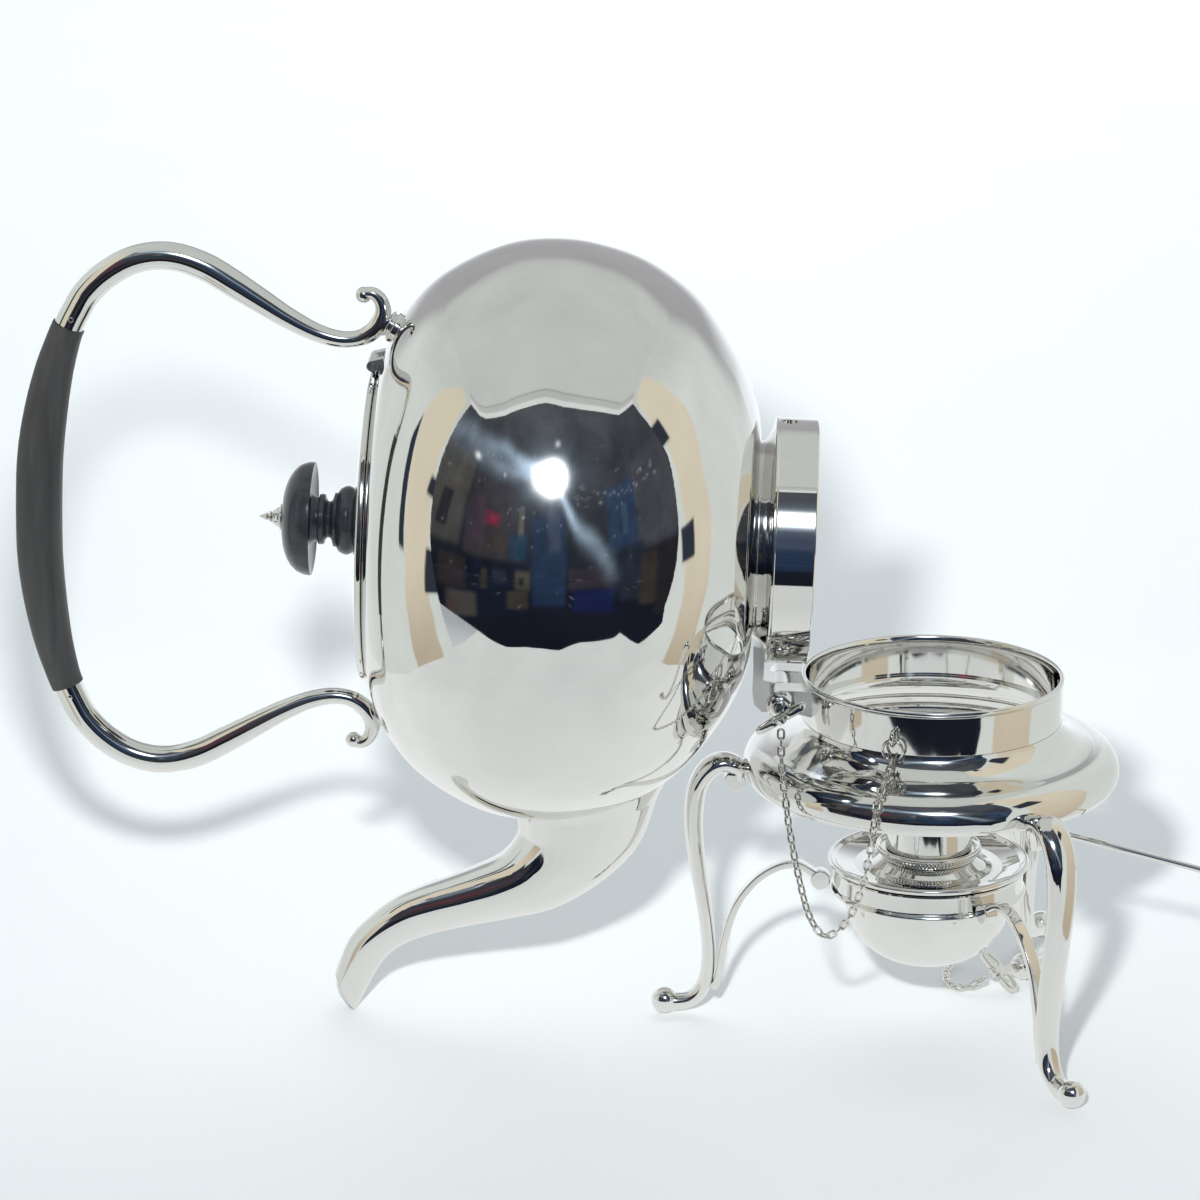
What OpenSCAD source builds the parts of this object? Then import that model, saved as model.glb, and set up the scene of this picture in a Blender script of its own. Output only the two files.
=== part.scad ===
// Spirit kettle on its stand, shown tipped forward on the front hinge pin.
// Millimetres. Z is up, Z = 0 is the table. The origin is on the table under
// the centre of the stand; the spout side of the kettle and the hinge are at -X.

/* [Pose] */
// Angle the kettle is tipped forward on its hinge; 0 stands it upright
kettle_tip = 87.8; // [80:0.1:88]

/* [Stand] */
// Outside radius of the collar wall
collar_r = 38.2; // [38.1:0.1:38.4]
// Height of the collar rim above the table
collar_top = 108.4; // [108.2:0.1:108.6]
// Height of the collar wall
collar_h = 13.2; // [13:0.1:13.4]
// Radius of the circle the three feet stand on
foot_r = 78.5; // [77:0.5:80]
// Radius of a foot ball
foot_ball_r = 4; // [3.9:0.05:4.05]
// Width of the flat brace straps
brace_w = 3.8; // [3:0.2:4.4]
// Thickness of the flat brace straps
brace_t = 2.1; // [1.8:0.1:2.2]

/* [Hinge] */
// Distance of the hinge axis from the stand axis
hinge_x = 44.8; // [44.7:0.1:44.9]
// Height of the hinge axis
hinge_z = 103.7; // [103.6:0.1:103.8]
// Radius of the hinge pin
hinge_pin_r = 2; // [1.8:0.05:2.05]
// Radius of the hinge knuckles
knuckle_r = 3.1; // [3:0.05:3.2]

/* [Kettle] */
// Height of the kettle's seat above the table, the bottom of its base ring
seat_z = 96.4; // [96.3:0.1:96.6]
// Wall thickness of the kettle body
wall = 1.2; // [1:0.1:1.4]
// Outside radius of the base ring
ring_r = 35.85; // [35.7:0.05:35.9]
// Height of the base ring
ring_h = 12; // [11.9:0.1:12]
// Radius of the radial hole for the lock pin
lock_hole_r = 2.3; // [2.2:0.05:2.4]

/* [Lid and knob] */
// Outside radius of the lid's rim
lid_r = 46.2; // [46:0.1:46.3]
// Radius of the knob's mushroom cap
knob_cap_r = 16.6; // [15:0.1:17]
// Radius of the threaded stud through the knob
stud_r = 1.5; // [1.3:0.1:1.6]

/* [Burner] */
// Outside radius of the burner's dished pan
pan_r = 29.9; // [29.5:0.1:30.2]
// Radius of the snuffer cap
snuffer_r = 12.9; // [12.6:0.1:13]
// Length of the snuffer's handle rod
rod_len = 118; // [100:1:130]
// Radius of the snuffer's handle rod
rod_r = 1; // [0.9:0.05:1.2]

/* [Chains] */
// Distance from one chain link to the next
link_pitch = 2.5; // [2.5:0.05:2.6]
// Radius of the wire of a link
link_wire = 0.3; // [0.28:0.01:0.31]

/* [Hidden] */
$fn = 96;

silver = [0.86, 0.87, 0.87];
ebony = [0.09, 0.085, 0.09];
cotton = [0.86, 0.83, 0.76];

// ---------- helpers ----------
function cr(a, b, c, d, t) = 0.5 * ((2 * b) + (c - a) * t + (2 * a - 5 * b + 4 * c - d) * t * t
  + (3 * b - a - 3 * c + d) * t * t * t);
// smooth curve through the points of P, n steps between neighbours
function smooth(P, n) = let (m = len(P) - 1) concat(
  [for (i = [0:m - 1]) for (k = [0:n - 1])
    cr(P[max(i - 1, 0)], P[i], P[i + 1], P[min(i + 2, m)], k / n)], [P[m]]);
function unit(v) = v / norm(v);
function tang(P, i) = unit(P[min(i + 1, len(P) - 1)] - P[max(i - 1, 0)]);
function rev(P) = [for (i = [len(P) - 1:-1:0]) P[i]];
function dists(P, i = 0, s = 0) = i >= len(P) - 1 ? [s]
  : concat([s], dists(P, i + 1, s + norm(P[i + 1] - P[i])));

// rings of points (all with n points) skinned into one closed solid
module skin(R, n) {
  m = len(R);
  pts = [for (r = R) each r];
  side = [for (i = [0:m - 2]) for (k = [0:n - 1]) let (a = i * n + k, b = i * n + (k + 1) % n)
    [a, b, b + n, a + n]];
  tri = [for (q = side) each [[q[0], q[1], q[2]], [q[0], q[2], q[3]]]];
  polyhedron(pts, concat(tri, [[for (k = [n - 1:-1:0]) k]], [[for (k = [0:n - 1]) (m - 1) * n + k]]));
}
// a rod bent in the XZ plane; each path entry is [x, z, half thickness, half width]
module bent_rod(path, n = 16) {
  R = [for (i = [0:len(path) - 1]) let (p = path[i], t = tang([for (q = path) [q[0], q[1]]], i))
    [for (k = [0:n - 1]) let (f = 360 * k / n)
      [p[0] - t[1] * p[2] * cos(f), p[3] * sin(f), p[1] + t[0] * p[2] * cos(f)]]];
  skin(R, n);
}
// a flat strap of thickness t following a path in the XZ plane
module strap2d(P, t) {
  L = [for (i = [0:len(P) - 1]) let (d = tang(P, i)) P[i] + t / 2 * [-d[1], d[0]]];
  M = [for (i = [0:len(P) - 1]) let (d = tang(P, i)) P[i] - t / 2 * [-d[1], d[0]]];
  polygon(concat(L, rev(M)));
}
module slab(w) rotate([90, 0, 0]) linear_extrude(height = w, center = true) children();

// upright kettle coordinates -> the pose on the hinge
module kettle_pose() translate([-hinge_x, 0, hinge_z]) rotate([0, -kettle_tip, 0])
  translate([hinge_x, 0, seat_z - hinge_z]) children();

// ---------- stand ----------
module stand_collar() color(silver) difference() {
  rotate_extrude() polygon([[34.9, collar_top - collar_h], [collar_r, collar_top - collar_h],
    [collar_r, collar_top - 1.8], [collar_r + 0.25, collar_top - 1.45], [collar_r + 0.45, collar_top - 0.95],
    [collar_r + 0.4, collar_top - 0.4], [collar_r + 0.1, collar_top - 0.05], [37.9, collar_top],
    [37.45, collar_top - 0.2], [37.15, collar_top - 0.8], [36.95, collar_top - 1.9], [36.9, collar_top - 3],
    [36.9, seat_z - 0.3], [34.9, seat_z - 0.3]]);
  translate([30, 0, seat_z + 8.4]) rotate([0, 90, 0]) cylinder(r = lock_hole_r, h = 12);
}

platform_out = smooth([[38.25, 95.17], [38.7, 93.6], [40.4, 91.4], [43.4, 89.3], [47, 87.9], [50, 87.2],
  [52.6, 86], [54.6, 83.8], [55.5, 81], [55.3, 78.4], [54.2, 76.6]], 4);
platform_in = smooth([[53.2, 77.1], [54, 78.8], [54.2, 81], [53.4, 83.2], [51.9, 84.9], [49.8, 85.9],
  [46.6, 86.6], [42.6, 88.1], [39.3, 90.3], [37.5, 92.8], [36.95, 95.17]], 4);
module stand_platform() color(silver) rotate_extrude() polygon(concat(platform_out, platform_in));

leg_path = smooth([[56.6, 74.6, 1.5, 2.8], [56.9, 78.2, 2.6, 3.8], [60.9, 80, 3, 4.5], [65.4, 78.2, 3.1, 4.8],
  [68.8, 72.9, 3, 4.8], [70, 65.4, 2.85, 4.7], [69.9, 57, 2.7, 4.5], [68.8, 47.6, 2.5, 4.3],
  [67.3, 38, 2.3, 4.2], [66, 29, 2.15, 4.1], [65.4, 20.5, 2.1, 3.8], [65.8, 13, 2.15, 3.5],
  [67.4, 7.8, 2.3, 3.3], [70.6, 4.6, 2.4, 3.1], [74.6, 3.6, 2.6, 3], [foot_r - 1.4, 3.8, 2.8, 3]], 2);
module leg() difference() {
  union() {
    bent_rod(leg_path, 16);
    translate([foot_r, 0, foot_ball_r - 0.05]) sphere(r = foot_ball_r);
    translate([57.9, 0, 74.9]) rotate([90, 0, 0]) cylinder(r = 3.2, h = 5.6, center = true);
  }
  translate([foot_r, 0, -5]) cube([20, 20, 10], center = true);
  rotate_extrude() polygon(concat([[0, 95.3]], [for (q = platform_out) q + [0.03, 0]], [[54.18, 76.45], [53.1, 76.95], [0, 76.95]]));
}
module leg_front() color(silver) rotate([0, 0, 180]) leg();
module leg_camera_side() color(silver) rotate([0, 0, -60]) leg();
module leg_far_side() color(silver) rotate([0, 0, 60]) leg();

brace_path = smooth([[63.2, 9.4], [62, 14.4], [60.5, 23.6], [57.4, 34.2], [52, 42.2], [45.6, 46.9], [39.2, 48.2],
  [33.6, 45.1]], 4);
module brace() difference() {
  union() {
    slab(brace_w) strap2d(brace_path, brace_t);
    translate([32.05, 0, 43.6]) rotate([90, 0, 0]) cylinder(r = 3, h = brace_w + 0.4, center = true);
    translate([63.6, 0, 9.4]) rotate([90, 0, 0]) cylinder(r = 1.5, h = brace_w, center = true);
  }
  bent_rod([for (q = leg_path) if (q[1] < 30) [q[0], q[1], q[2] + 0.03, q[3] + 0.03]], 16);
  cylinder(r = 29.05, h = 100);
}
module brace_front() color(silver) rotate([0, 0, 180]) brace();
module brace_camera_side() color(silver) rotate([0, 0, -60]) brace();
module brace_far_side() color(silver) rotate([0, 0, 60]) brace();

module burner_ring() color(silver) rotate_extrude() polygon([[27.2, 41], [28.5, 40.6], [29, 41],
  [29.1, 41.7], [28.8, 42.3], [28.4, 42.8], [28.3, 43.4], [28.3, 47.6], [28.7, 48.1], [28.6, 48.55], [27.2, 48.55]]);

module stand_hinge_lugs() color(silver) for (s = [-1, 1]) difference() {
  translate([0, s * 9.675, 0]) slab(7.65) union() {
    translate([-hinge_x, hinge_z]) circle(r = knuckle_r);
    polygon([[-hinge_x - 0.6, hinge_z - knuckle_r + 0.05], [-34.5, hinge_z - 5.4], [-34.5, hinge_z + 2.6],
      [-hinge_x + 0.5, hinge_z + knuckle_r - 0.05]]);
  }
  cylinder(r = collar_r + 0.02, h = 200);
  translate([-hinge_x, 0, hinge_z]) rotate([90, 0, 0]) cylinder(r = hinge_pin_r + 0.05, h = 40, center = true);
}

// ---------- chain fittings ----------
eye_a = 251.5; // direction of the near eyelet, degrees from +X
eye_z = 100.6;
module eyelet(a) color(silver) rotate([0, 0, a]) difference() {
  translate([40, 0, eye_z]) rotate([90, 0, 0]) rotate_extrude() translate([2, 0]) circle(r = 0.65, $fn = 24);
  translate([0, 0, 80]) cylinder(r = collar_r + 0.02, h = 40);
}
module jump_ring(a) color(silver) rotate([0, 0, a]) translate([40.2, 0, eye_z - 3.7])
  rotate([0, 90, 0]) rotate_extrude() translate([3.05, 0]) circle(r = 0.45, $fn = 24);
module chain_eyelet_near() eyelet(eye_a);
module chain_eyelet_far() eyelet(eye_a - 180);
module jump_ring_near() jump_ring(eye_a);
module jump_ring_far() jump_ring(eye_a - 180);

// one oval link lying in its own XZ plane, long way along X
link_len = link_pitch + 4 * link_wire; // outside length
link_wid = 2.5;
module chain_link() {
  r = link_wid / 2 - link_wire;
  s = link_len / 2 - link_wid / 2;
  for (m = [0, 1]) mirror([m, 0, 0]) translate([s, 0, 0]) rotate([90, 0, 0]) rotate([0, 0, -90])
    rotate_extrude(angle = 180, $fn = 24) translate([r, 0]) circle(r = link_wire, $fn = 16);
  for (k = [-1, 1]) translate([-s, 0, k * r]) rotate([0, 90, 0]) cylinder(r = link_wire, h = 2 * s, $fn = 16);
}
// links at equal steps along the smooth path P
module chain(P, roll = 0) {
  Q = smooth(P, 6);
  D = dists(Q);
  X = [for (i = [0:len(Q) - 1]) [D[i], Q[i][0]]];
  Y = [for (i = [0:len(Q) - 1]) [D[i], Q[i][1]]];
  Z = [for (i = [0:len(Q) - 1]) [D[i], Q[i][2]]];
  n = floor((D[len(D) - 1] - 1.2) / link_pitch);
  for (i = [0:n]) {
    d = 0.6 + i * link_pitch;
    a = [lookup(d - 0.6, X), lookup(d - 0.6, Y), lookup(d - 0.6, Z)];
    b = [lookup(d + 0.6, X), lookup(d + 0.6, Y), lookup(d + 0.6, Z)];
    v = unit(b - a);
    translate((a + b) / 2) rotate([0, -asin(v[2]), atan2(v[1], v[0])]) rotate([roll + 90 * (i % 2), 0, 0])
      chain_link();
  }
}
module hinge_pin_chain() color(silver) chain([[-12.79, -38.2, 93.8], [-13.7, -40.9, 92], [-15.6, -47.6, 89.6],
  [-17.4, -52.4, 86.2], [-18.2, -54.3, 80.6], [-19.2, -54.6, 72.4], [-21.6, -54.2, 60], [-25.6, -53, 50],
  [-31.4, -50.6, 44.6], [-36, -47.8, 49.4], [-39.2, -44.6, 60], [-41.8, -41, 72], [-43.2, -39, 80.7],
  [-44.2, -36.6, 88], [-44.7, -34.7, 94.6], [-44.8, -33.6, 100.6]]);
module lock_pin_chain() color(silver) chain([[12.79, 38.2, 93.8], [13.7, 40.9, 92], [15.8, 47.8, 89.6],
  [17.4, 52.6, 86.1], [17.6, 54.6, 80.4], [17, 54.8, 66], [16, 53.6, 46], [14.6, 50.4, 24], [12.6, 45.4, 8],
  [10, 39.6, 2.6], [8, 33, 1.45], [7.6, 27, 1.4], [8.6, 21.8, 1.4], [11.4, 18.8, 1.5], [15.2, 18, 2.6],
  [18.4, 18.3, 4.5]]);

// ---------- pins ----------
// shaft along +X from the turned head, the thumb-piece behind it at -X
module pin_shaft(L) rotate([0, 90, 0]) rotate_extrude() polygon([[0, -8.3], [2.2, -8.3], [2.7, -7.8], [2.7, -7.2],
  [2.2, -6.8], [3.3, -6.2], [3.9, -5.3], [4.1, -4.4], [3.8, -3.6], [4.1, -3.2], [4.1, -2.4], [3.6, -2],
  [3.6, -1.4], [3.2, -1.1], [3.2, 0], [hinge_pin_r, 0], [hinge_pin_r, L - 1], [hinge_pin_r - 0.7, L], [0, L]]);
// bow of two oval loops in the XZ plane, its root at x = 0 and growing to -X
module thumbpiece() slab(1.8) difference() {
  union() {
    translate([-3.1, 0]) square([6.2, 2.6], center = true);
    for (s = [-1, 1]) difference() {
      hull() {
        translate([-7.2, s * 2.9]) circle(r = 2.7, $fn = 48);
        translate([-7.5, s * 6.2]) circle(r = 2.1, $fn = 48);
      }
      hull() {
        translate([-7.2, s * 3.4]) circle(r = 1.3, $fn = 32);
        translate([-7.5, s * 6.1]) circle(r = 0.95, $fn = 32);
      }
    }
    translate([-7.4, 0]) circle(r = 1.9, $fn = 32);
    translate([-8.9, 0]) square([2.2, 1.9], center = true);
    translate([-9.9, 0]) circle(r = 1.3, $fn = 32);
  }
  translate([-9.9, 0]) circle(r = 0.6, $fn = 24);
}
module at_hinge_pin() translate([-hinge_x, -14.3, hinge_z]) rotate([0, 0, 90]) rotate([59, 0, 0]) children();
module hinge_pin() color(silver) at_hinge_pin() pin_shaft(28.6);
module hinge_pin_thumbpiece() color(silver) at_hinge_pin() translate([-8.35, 0, 0]) thumbpiece();
module at_lock_pin() translate([34.4, 33.2, 3.72]) rotate([0, 0, 46]) rotate([0, 6.9, 0]) rotate([-60, 0, 0]) children();
module lock_pin() color(silver) at_lock_pin() pin_shaft(15);
module lock_pin_thumbpiece() color(silver) at_lock_pin() translate([-8.35, 0, 0]) thumbpiece();

// ---------- kettle (upright coordinates, z = 0 at the base ring's foot) ----------
// outside of the body as [height, radius]
body_zr = smooth([[16.4, 28.6], [17.3, 36], [19.6, 43.8], [25.6, 55.4], [36.4, 69.2], [51.2, 79.3], [66, 83.9],
  [78, 85], [90, 83.6], [101, 79.4], [112, 72.6], [119.6, 64.6], [124.9, 55.6], [127.9, 46.9]], 5);
function body_r(z) = lookup(z, body_zr);
body_out = [for (p = body_zr) [p[1], p[0]]];
body_in = [for (i = [0:len(body_out) - 1]) let (t = tang(body_out, i)) body_out[i] + wall * [-t[1], t[0]]];
strainer = [for (i = [-3:3]) for (j = [-2:2]) if (abs(i) + abs(j) < 5) [i * 4.4 + (j % 2 == 0 ? 0 : 2.2), 61 + j * 4]];
module body_shell() rotate_extrude() polygon(concat([[0, 16.4]], body_out, [[46, 128.1], [42.6, 128.1], [42.6, 126.9],
  [44.6, 126.9]], rev([for (p = body_in) if (p[1] > 17.7 && p[1] < 126.6) p]), [[28, 17.6], [0, 17.6]]));
module kettle_body() color(silver) kettle_pose() difference() {
  body_shell();
  for (h = strainer) translate([-95, h[0], h[1]]) rotate([0, 90, 0]) cylinder(r = 1.4, h = 30, $fn = 24);
}
ring_out = [[28.6, 16.3], [29.1, 15.3], [30.2, 14.3], [31.9, 13.5], [33.9, 12.9], [35.6, ring_h + 0.55],
  [36.1, ring_h + 0.2], [36.1, ring_h - 0.3], [ring_r, ring_h - 0.6]];
module kettle_base_ring() color(silver) kettle_pose() difference() {
  rotate_extrude() polygon(concat([[27.3, 16.35]], [[28.6, 16.35]], ring_out, [[ring_r, 0.4], [ring_r - 0.3, 0],
    [34.6, 0], [34.6, 11.2], [32.6, 11.7], [30, 12.6], [28.2, 13.8], [27.3, 15.2]]));
  translate([30, 0, 8.4]) rotate([0, 90, 0]) cylinder(r = lock_hole_r, h = 12);
}
module kettle_hinge_lug() color(silver) kettle_pose() difference() {
  translate([-hinge_x, 0, hinge_z - seat_z]) slab(11) union() {
    circle(r = knuckle_r);
    polygon([[12.6, 5.2], [13.2, 6.4], [13.6, 8.6], [6, 8.3], [0, 8.3], [-4.2, 7.6], [-6.4, 5.2], [-6.2, 1.6],
      [-4.2, -0.6], [-2, -2.2], [2.6, 1.6], [3.4, 5.2]]);
  }
  rotate_extrude() polygon(concat([[0, -1], [0, 16.4], [28.64, 16.4]], [for (p = ring_out) p + [0.04, 0.03]], [[ring_r + 0.04, -1]]));
  rotate_extrude() polygon(concat([[0, 16.35]], [for (p = body_out) if (p[1] < 40) p + [0.05, -0.03]], [[0, 40]]));
  translate([-hinge_x, 0, hinge_z - seat_z]) rotate([90, 0, 0]) cylinder(r = hinge_pin_r + 0.05, h = 40, center = true);
}

// spout sections: top [z, x], bottom [z, x], half width, all ahead of the body
spout_s = smooth([[83.5, 89.6, 42, 80.5, 15.4], [83.6, 95, 47, 96, 13.4], [88.4, 101.6, 57, 107.6, 12.2],
  [96, 106, 70.4, 116.8, 10.8], [104.4, 109.9, 84.6, 121.2, 9.3], [112.6, 113.5, 98, 124.6, 8],
  [120.4, 117.8, 109, 128, 6.9], [128, 124.6, 117.6, 132.3, 6.1], [133.2, 131.4, 123.2, 138.4, 5.7],
  [137, 141.8, 130.4, 153.35, 5.6]], 4);
spn = 24;
function spout_ring(p, inset) = let (c = [(p[0] + p[2]) / 2, (p[1] + p[3]) / 2], h = [(p[0] - p[2]) / 2, (p[1] - p[3]) / 2],
  k = (norm(h) - inset) / norm(h))
  [for (j = [0:spn - 1]) let (f = 360 * j / spn) [-(c[1] + h[1] * k * cos(f)), (p[4] - inset) * sin(f), c[0] + h[0] * k * cos(f)]];
function root_ring(inset, z0 = 61, hz = 23.6, b = 17.8) = [for (j = [0:spn - 1]) let (f = 360 * j / spn,
  z = z0 + (hz - inset) * cos(f), y = (b - inset) * sin(f)) [-sqrt(pow(body_r(z), 2) - y * y) - 0.06, y, z]];
function w(i, k) = i * spn + (k % spn);
module spout() color(silver) difference() {
  kettle_pose() spout_solid();
  translate([-300, -50, -20]) cube([300, 100, 20]);
}
module spout_solid() {
  O = concat([root_ring(0)], [for (p = spout_s) spout_ring(p, 0)]);
  I = concat([root_ring(1.3)], [for (p = spout_s) spout_ring(p, 1.1)]);
  m = len(O);
  pts = concat([for (r = O) each r], [for (r = I) each r]);
  b = m * spn;
  F = concat(
    [for (i = [0:m - 2]) for (k = [0:spn - 1]) each [[w(i, k), w(i + 1, k), w(i + 1, k + 1)], [w(i, k), w(i + 1, k + 1), w(i, k + 1)]]],
    [for (i = [0:m - 2]) for (k = [0:spn - 1]) each [[b + w(i, k), b + w(i + 1, k + 1), b + w(i + 1, k)], [b + w(i, k), b + w(i, k + 1), b + w(i + 1, k + 1)]]],
    [for (k = [0:spn - 1]) each [[w(0, k), w(0, k + 1), b + w(0, k + 1)], [w(0, k), b + w(0, k + 1), b + w(0, k)]]],
    [for (k = [0:spn - 1]) each [[w(m - 1, k), b + w(m - 1, k + 1), w(m - 1, k + 1)], [w(m - 1, k), b + w(m - 1, k), b + w(m - 1, k + 1)]]]);
  polyhedron(pts, F);
}

// handle: [x, z, half thickness, half width]
joint = [54.6, 218.4];      // where ebony meets silver
joint_a = -25;              // slope of the handle there
arm_path = smooth([[joint[0], joint[1], 4.3, 4.3], [58.6, 216.5, 4.25, 4.25], [64.4, 213.2, 4.2, 4.2], [70, 207.8, 4.15, 4.15],
  [74.4, 200.8, 4.1, 4.1], [76.4, 193.4, 4.1, 4.1], [76.1, 186.2, 4.1, 4.1], [73.6, 178.6, 4.1, 4.1],
  [69.4, 171, 4, 4], [64.5, 162.8, 3.6, 3.7], [59.7, 154.6, 3.1, 3.3], [56, 146.8, 2.7, 2.9], [54.3, 140.2, 2.5, 2.7],
  [54.6, 134.8, 2.4, 2.6], [56.6, 130.9, 2.35, 2.6], [59.6, 128.5, 2.2, 2.5], [63, 127.6, 1.8, 2.2], [66.2, 128.5, 1.6, 2],
  [68, 130.7, 1.45, 1.8], [68.1, 132.9, 1.5, 1.7]], 2);
module arm() difference() {
  union() {
    bent_rod(arm_path, 16);
    translate([67.8, 0, 133.4]) sphere(r = 2, $fn = 48);
  }
  translate([joint[0], 0, joint[1]]) rotate([0, 90 - joint_a, 0]) {
    translate([0, 0, -1]) cylinder(r = 2.6, h = 8);
    translate([0, 0, 3]) rotate([90, 0, 0]) cylinder(r = 0.8, h = 20, center = true);
  }
  // square cut where the silver meets the grip
  translate([joint[0], 0, joint[1]]) rotate([0, 90 - joint_a, 0]) translate([0, 0, -5]) cylinder(r = 9, h = 5);
}
module handle_arm_rear() color(silver) kettle_pose() arm();
module handle_arm_front() color(silver) kettle_pose() mirror([1, 0, 0]) arm();
// turned ferrule standing square on the shoulder under the scroll
fx = 58.2;
module ferrule() difference() {
  translate([fx, 0, 123.5]) rotate([0, 29.6, 0]) rotate_extrude() polygon([[0, 0], [4.5, 0], [4.6, 0.7], [4.4, 1.3],
    [3.7, 1.5], [3.6, 2], [4.1, 2.3], [4.1, 2.8], [3.2, 3.1], [2.3, 3.4], [2, 3.7], [0, 3.7]]);
  rotate_extrude() polygon(concat([[0, 100]], [for (p = body_out) if (p[1] > 105) p + [0.03, 0.02]], [[0, 127.9]]));
  bent_rod([for (q = arm_path) if (q[1] < 136) [q[0], q[1], q[2] + 0.03, q[3] + 0.03]], 16);
}
module handle_ferrule_rear() color(silver) kettle_pose() ferrule();
module handle_ferrule_front() color(silver) kettle_pose() mirror([1, 0, 0]) ferrule();
grip_half = smooth([[0, 227, 6.8, 6.4], [14, 226.7, 6.75, 6.35], [27, 225.3, 6.4, 6.1], [40, 222.9, 5.7, 5.6],
  [50, 220.1, 5, 5], [joint[0] - 0.03, joint[1] + 0.02, 4.8, 4.8]], 3);
grip_path = concat([for (p = rev(grip_half)) [-p[0], p[1], p[2], p[3]]], [for (i = [1:len(grip_half) - 1]) grip_half[i]]);
module handle_grip() color(ebony) kettle_pose() difference() {
  union() {
    difference() {
      bent_rod(grip_path, 18);
      for (m = [0, 1]) mirror([m, 0, 0]) translate([joint[0], 0, joint[1]]) rotate([0, 90 - joint_a, 0])
        translate([0, 0, -0.02]) cylinder(r = 9, h = 6);
    }
    for (m = [0, 1]) mirror([m, 0, 0]) translate([joint[0], 0, joint[1]]) rotate([0, 90 - joint_a, 0])
      translate([0, 0, -3]) cylinder(r = 2.55, h = 9.4);
  }
  for (m = [0, 1]) mirror([m, 0, 0]) translate([joint[0], 0, joint[1]]) rotate([0, 90 - joint_a, 0])
    translate([0, 0, 3]) rotate([90, 0, 0]) cylinder(r = 0.8, h = 20, center = true);
}
module grip_pin() translate([joint[0], 0, joint[1]]) rotate([0, 90 - joint_a, 0]) translate([0, 0, 3])
  rotate([90, 0, 0]) { cylinder(r = 0.78, h = 9, center = true); }
module grip_pin_rear() color(silver) kettle_pose() grip_pin();
module grip_pin_front() color(silver) kettle_pose() mirror([1, 0, 0]) grip_pin();

// ---------- lid ----------
lhx = 48.2;  // lid hinge axis
lhz = 129.7;
module lid_hinge_knuckles() color(silver) kettle_pose() for (s = [-1, 1]) difference() {
  translate([0, s * 5, 0]) slab(3.6) union() {
    translate([lhx, lhz]) circle(r = 1.6, $fn = 48);
    polygon([[lhx - 1.2, lhz - 1], [lhx + 1.6, lhz], [lhx + 3.2, 124], [lhx - 1.2, 124]]);
  }
  rotate_extrude() polygon(concat([[0, 100]], [for (p = body_out) if (p[1] > 105) p + [0.02, 0.02]], [[0, 128.14]]));
  translate([lhx, 0, lhz]) rotate([90, 0, 0]) cylinder(r = 0.85, h = 30, center = true, $fn = 48);
}
module lid_hinge_pin() color(silver) kettle_pose() translate([lhx, 0, lhz]) rotate([90, 0, 0])
  cylinder(r = 0.8, h = 14.2, center = true, $fn = 48);
module lid_hinge_leaf() color(silver) kettle_pose() difference() {
  slab(5.8) union() {
    translate([lhx, lhz]) circle(r = 1.6, $fn = 48);
    polygon([[lhx - 2.6, lhz - 0.9], [lhx, lhz - 1], [lhx, lhz + 1.2], [lhx - 2.6, lhz + 0.5]]);
  }
  cylinder(r = lid_r + 0.04, h = 300);
  translate([lhx, 0, lhz]) rotate([90, 0, 0]) cylinder(r = 0.85, h = 30, center = true, $fn = 48);
}
function dome(r) = 130.4 + 2.8 * (1 - pow(r / 45, 2.2));
dome_r = [for (i = [0:14]) 44.6 - i * (44.6 - 7) / 14];
module lid() color(silver) kettle_pose() difference() {
  rotate_extrude() polygon(concat([[0, 132]], [for (i = [14:-1:0]) [dome_r[i] - 0.4, dome(dome_r[i]) - 1.2]], [[44.2, 128.35], [45.6, 128.35],
    [46.1, 128.7], [lid_r, 129.3], [46.1, 129.9], [45.6, 130.3], [45, 130.4]], [for (r = dome_r) [r, dome(r)]], [[0, dome(7)]]));
  cylinder(r = stud_r + 0.05, h = 300);
}
module lid_bezel() color(silver) kettle_pose() rotate_extrude() polygon([[41, 123.6], [41.9, 123.6], [42.1, 124.2], [42.1, 128.3],
  [43.9, 128.3], [43.9, 129.28], [41, 129.45]]);
module knob() color(ebony) kettle_pose() difference() {
  rotate_extrude() polygon(concat([[0, 133.2], [6.4, 133.2]], smooth([[6.4, 133.2], [8.8, 134], [9.95, 135.5], [10, 137], [9.2, 138.5],
    [8, 139.3]], 3), [[7.9, 140.1]], smooth([[7.2, 140.3], [5.8, 140.9], [5.3, 141.6], [5.8, 142.4], [7.2, 142.9]], 3),
    [[7.35, 144.5], [6.5, 144.8]], smooth([[6.5, 145.4], [7.6, 146.9], [11, 147.3], [14.4, 146.8], [16.2, 146.3], [knob_cap_r, 146.7],
    [knob_cap_r - 0.15, 148.4], [15.4, 150.8], [13, 153], [9.2, 154.6], [4.6, 155.3]], 3), [[0, 155.3]]));
  cylinder(r = stud_r + 0.05, h = 300);
}
module knob_stud() color(silver) kettle_pose() translate([0, 0, 128.6]) cylinder(r = stud_r, h = 28);
module knob_finial() color(silver) kettle_pose() difference() {
  rotate_extrude() polygon([[0, 155.35], [3.9, 155.35], [4, 155.7], [3.7, 156.1], [3, 156.3], [2.9, 156.8],
    [2.3, 157.5], [2, 158.1], [1.5, 158.4], [1.75, 158.8], [1.3, 159.3], [0.9, 159.6], [1.15, 160], [0.9, 160.5], [0.15, 162.1], [0, 162.1]]);
  translate([0, 0, 150]) cylinder(r = stud_r + 0.05, h = 6.7);
}
module knob_nut() color(silver) kettle_pose() difference() {
  translate([0, 0, 129.4]) cylinder(r = 3.6, h = 2.5, $fn = 6);
  cylinder(r = stud_r + 0.05, h = 300);
}

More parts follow.
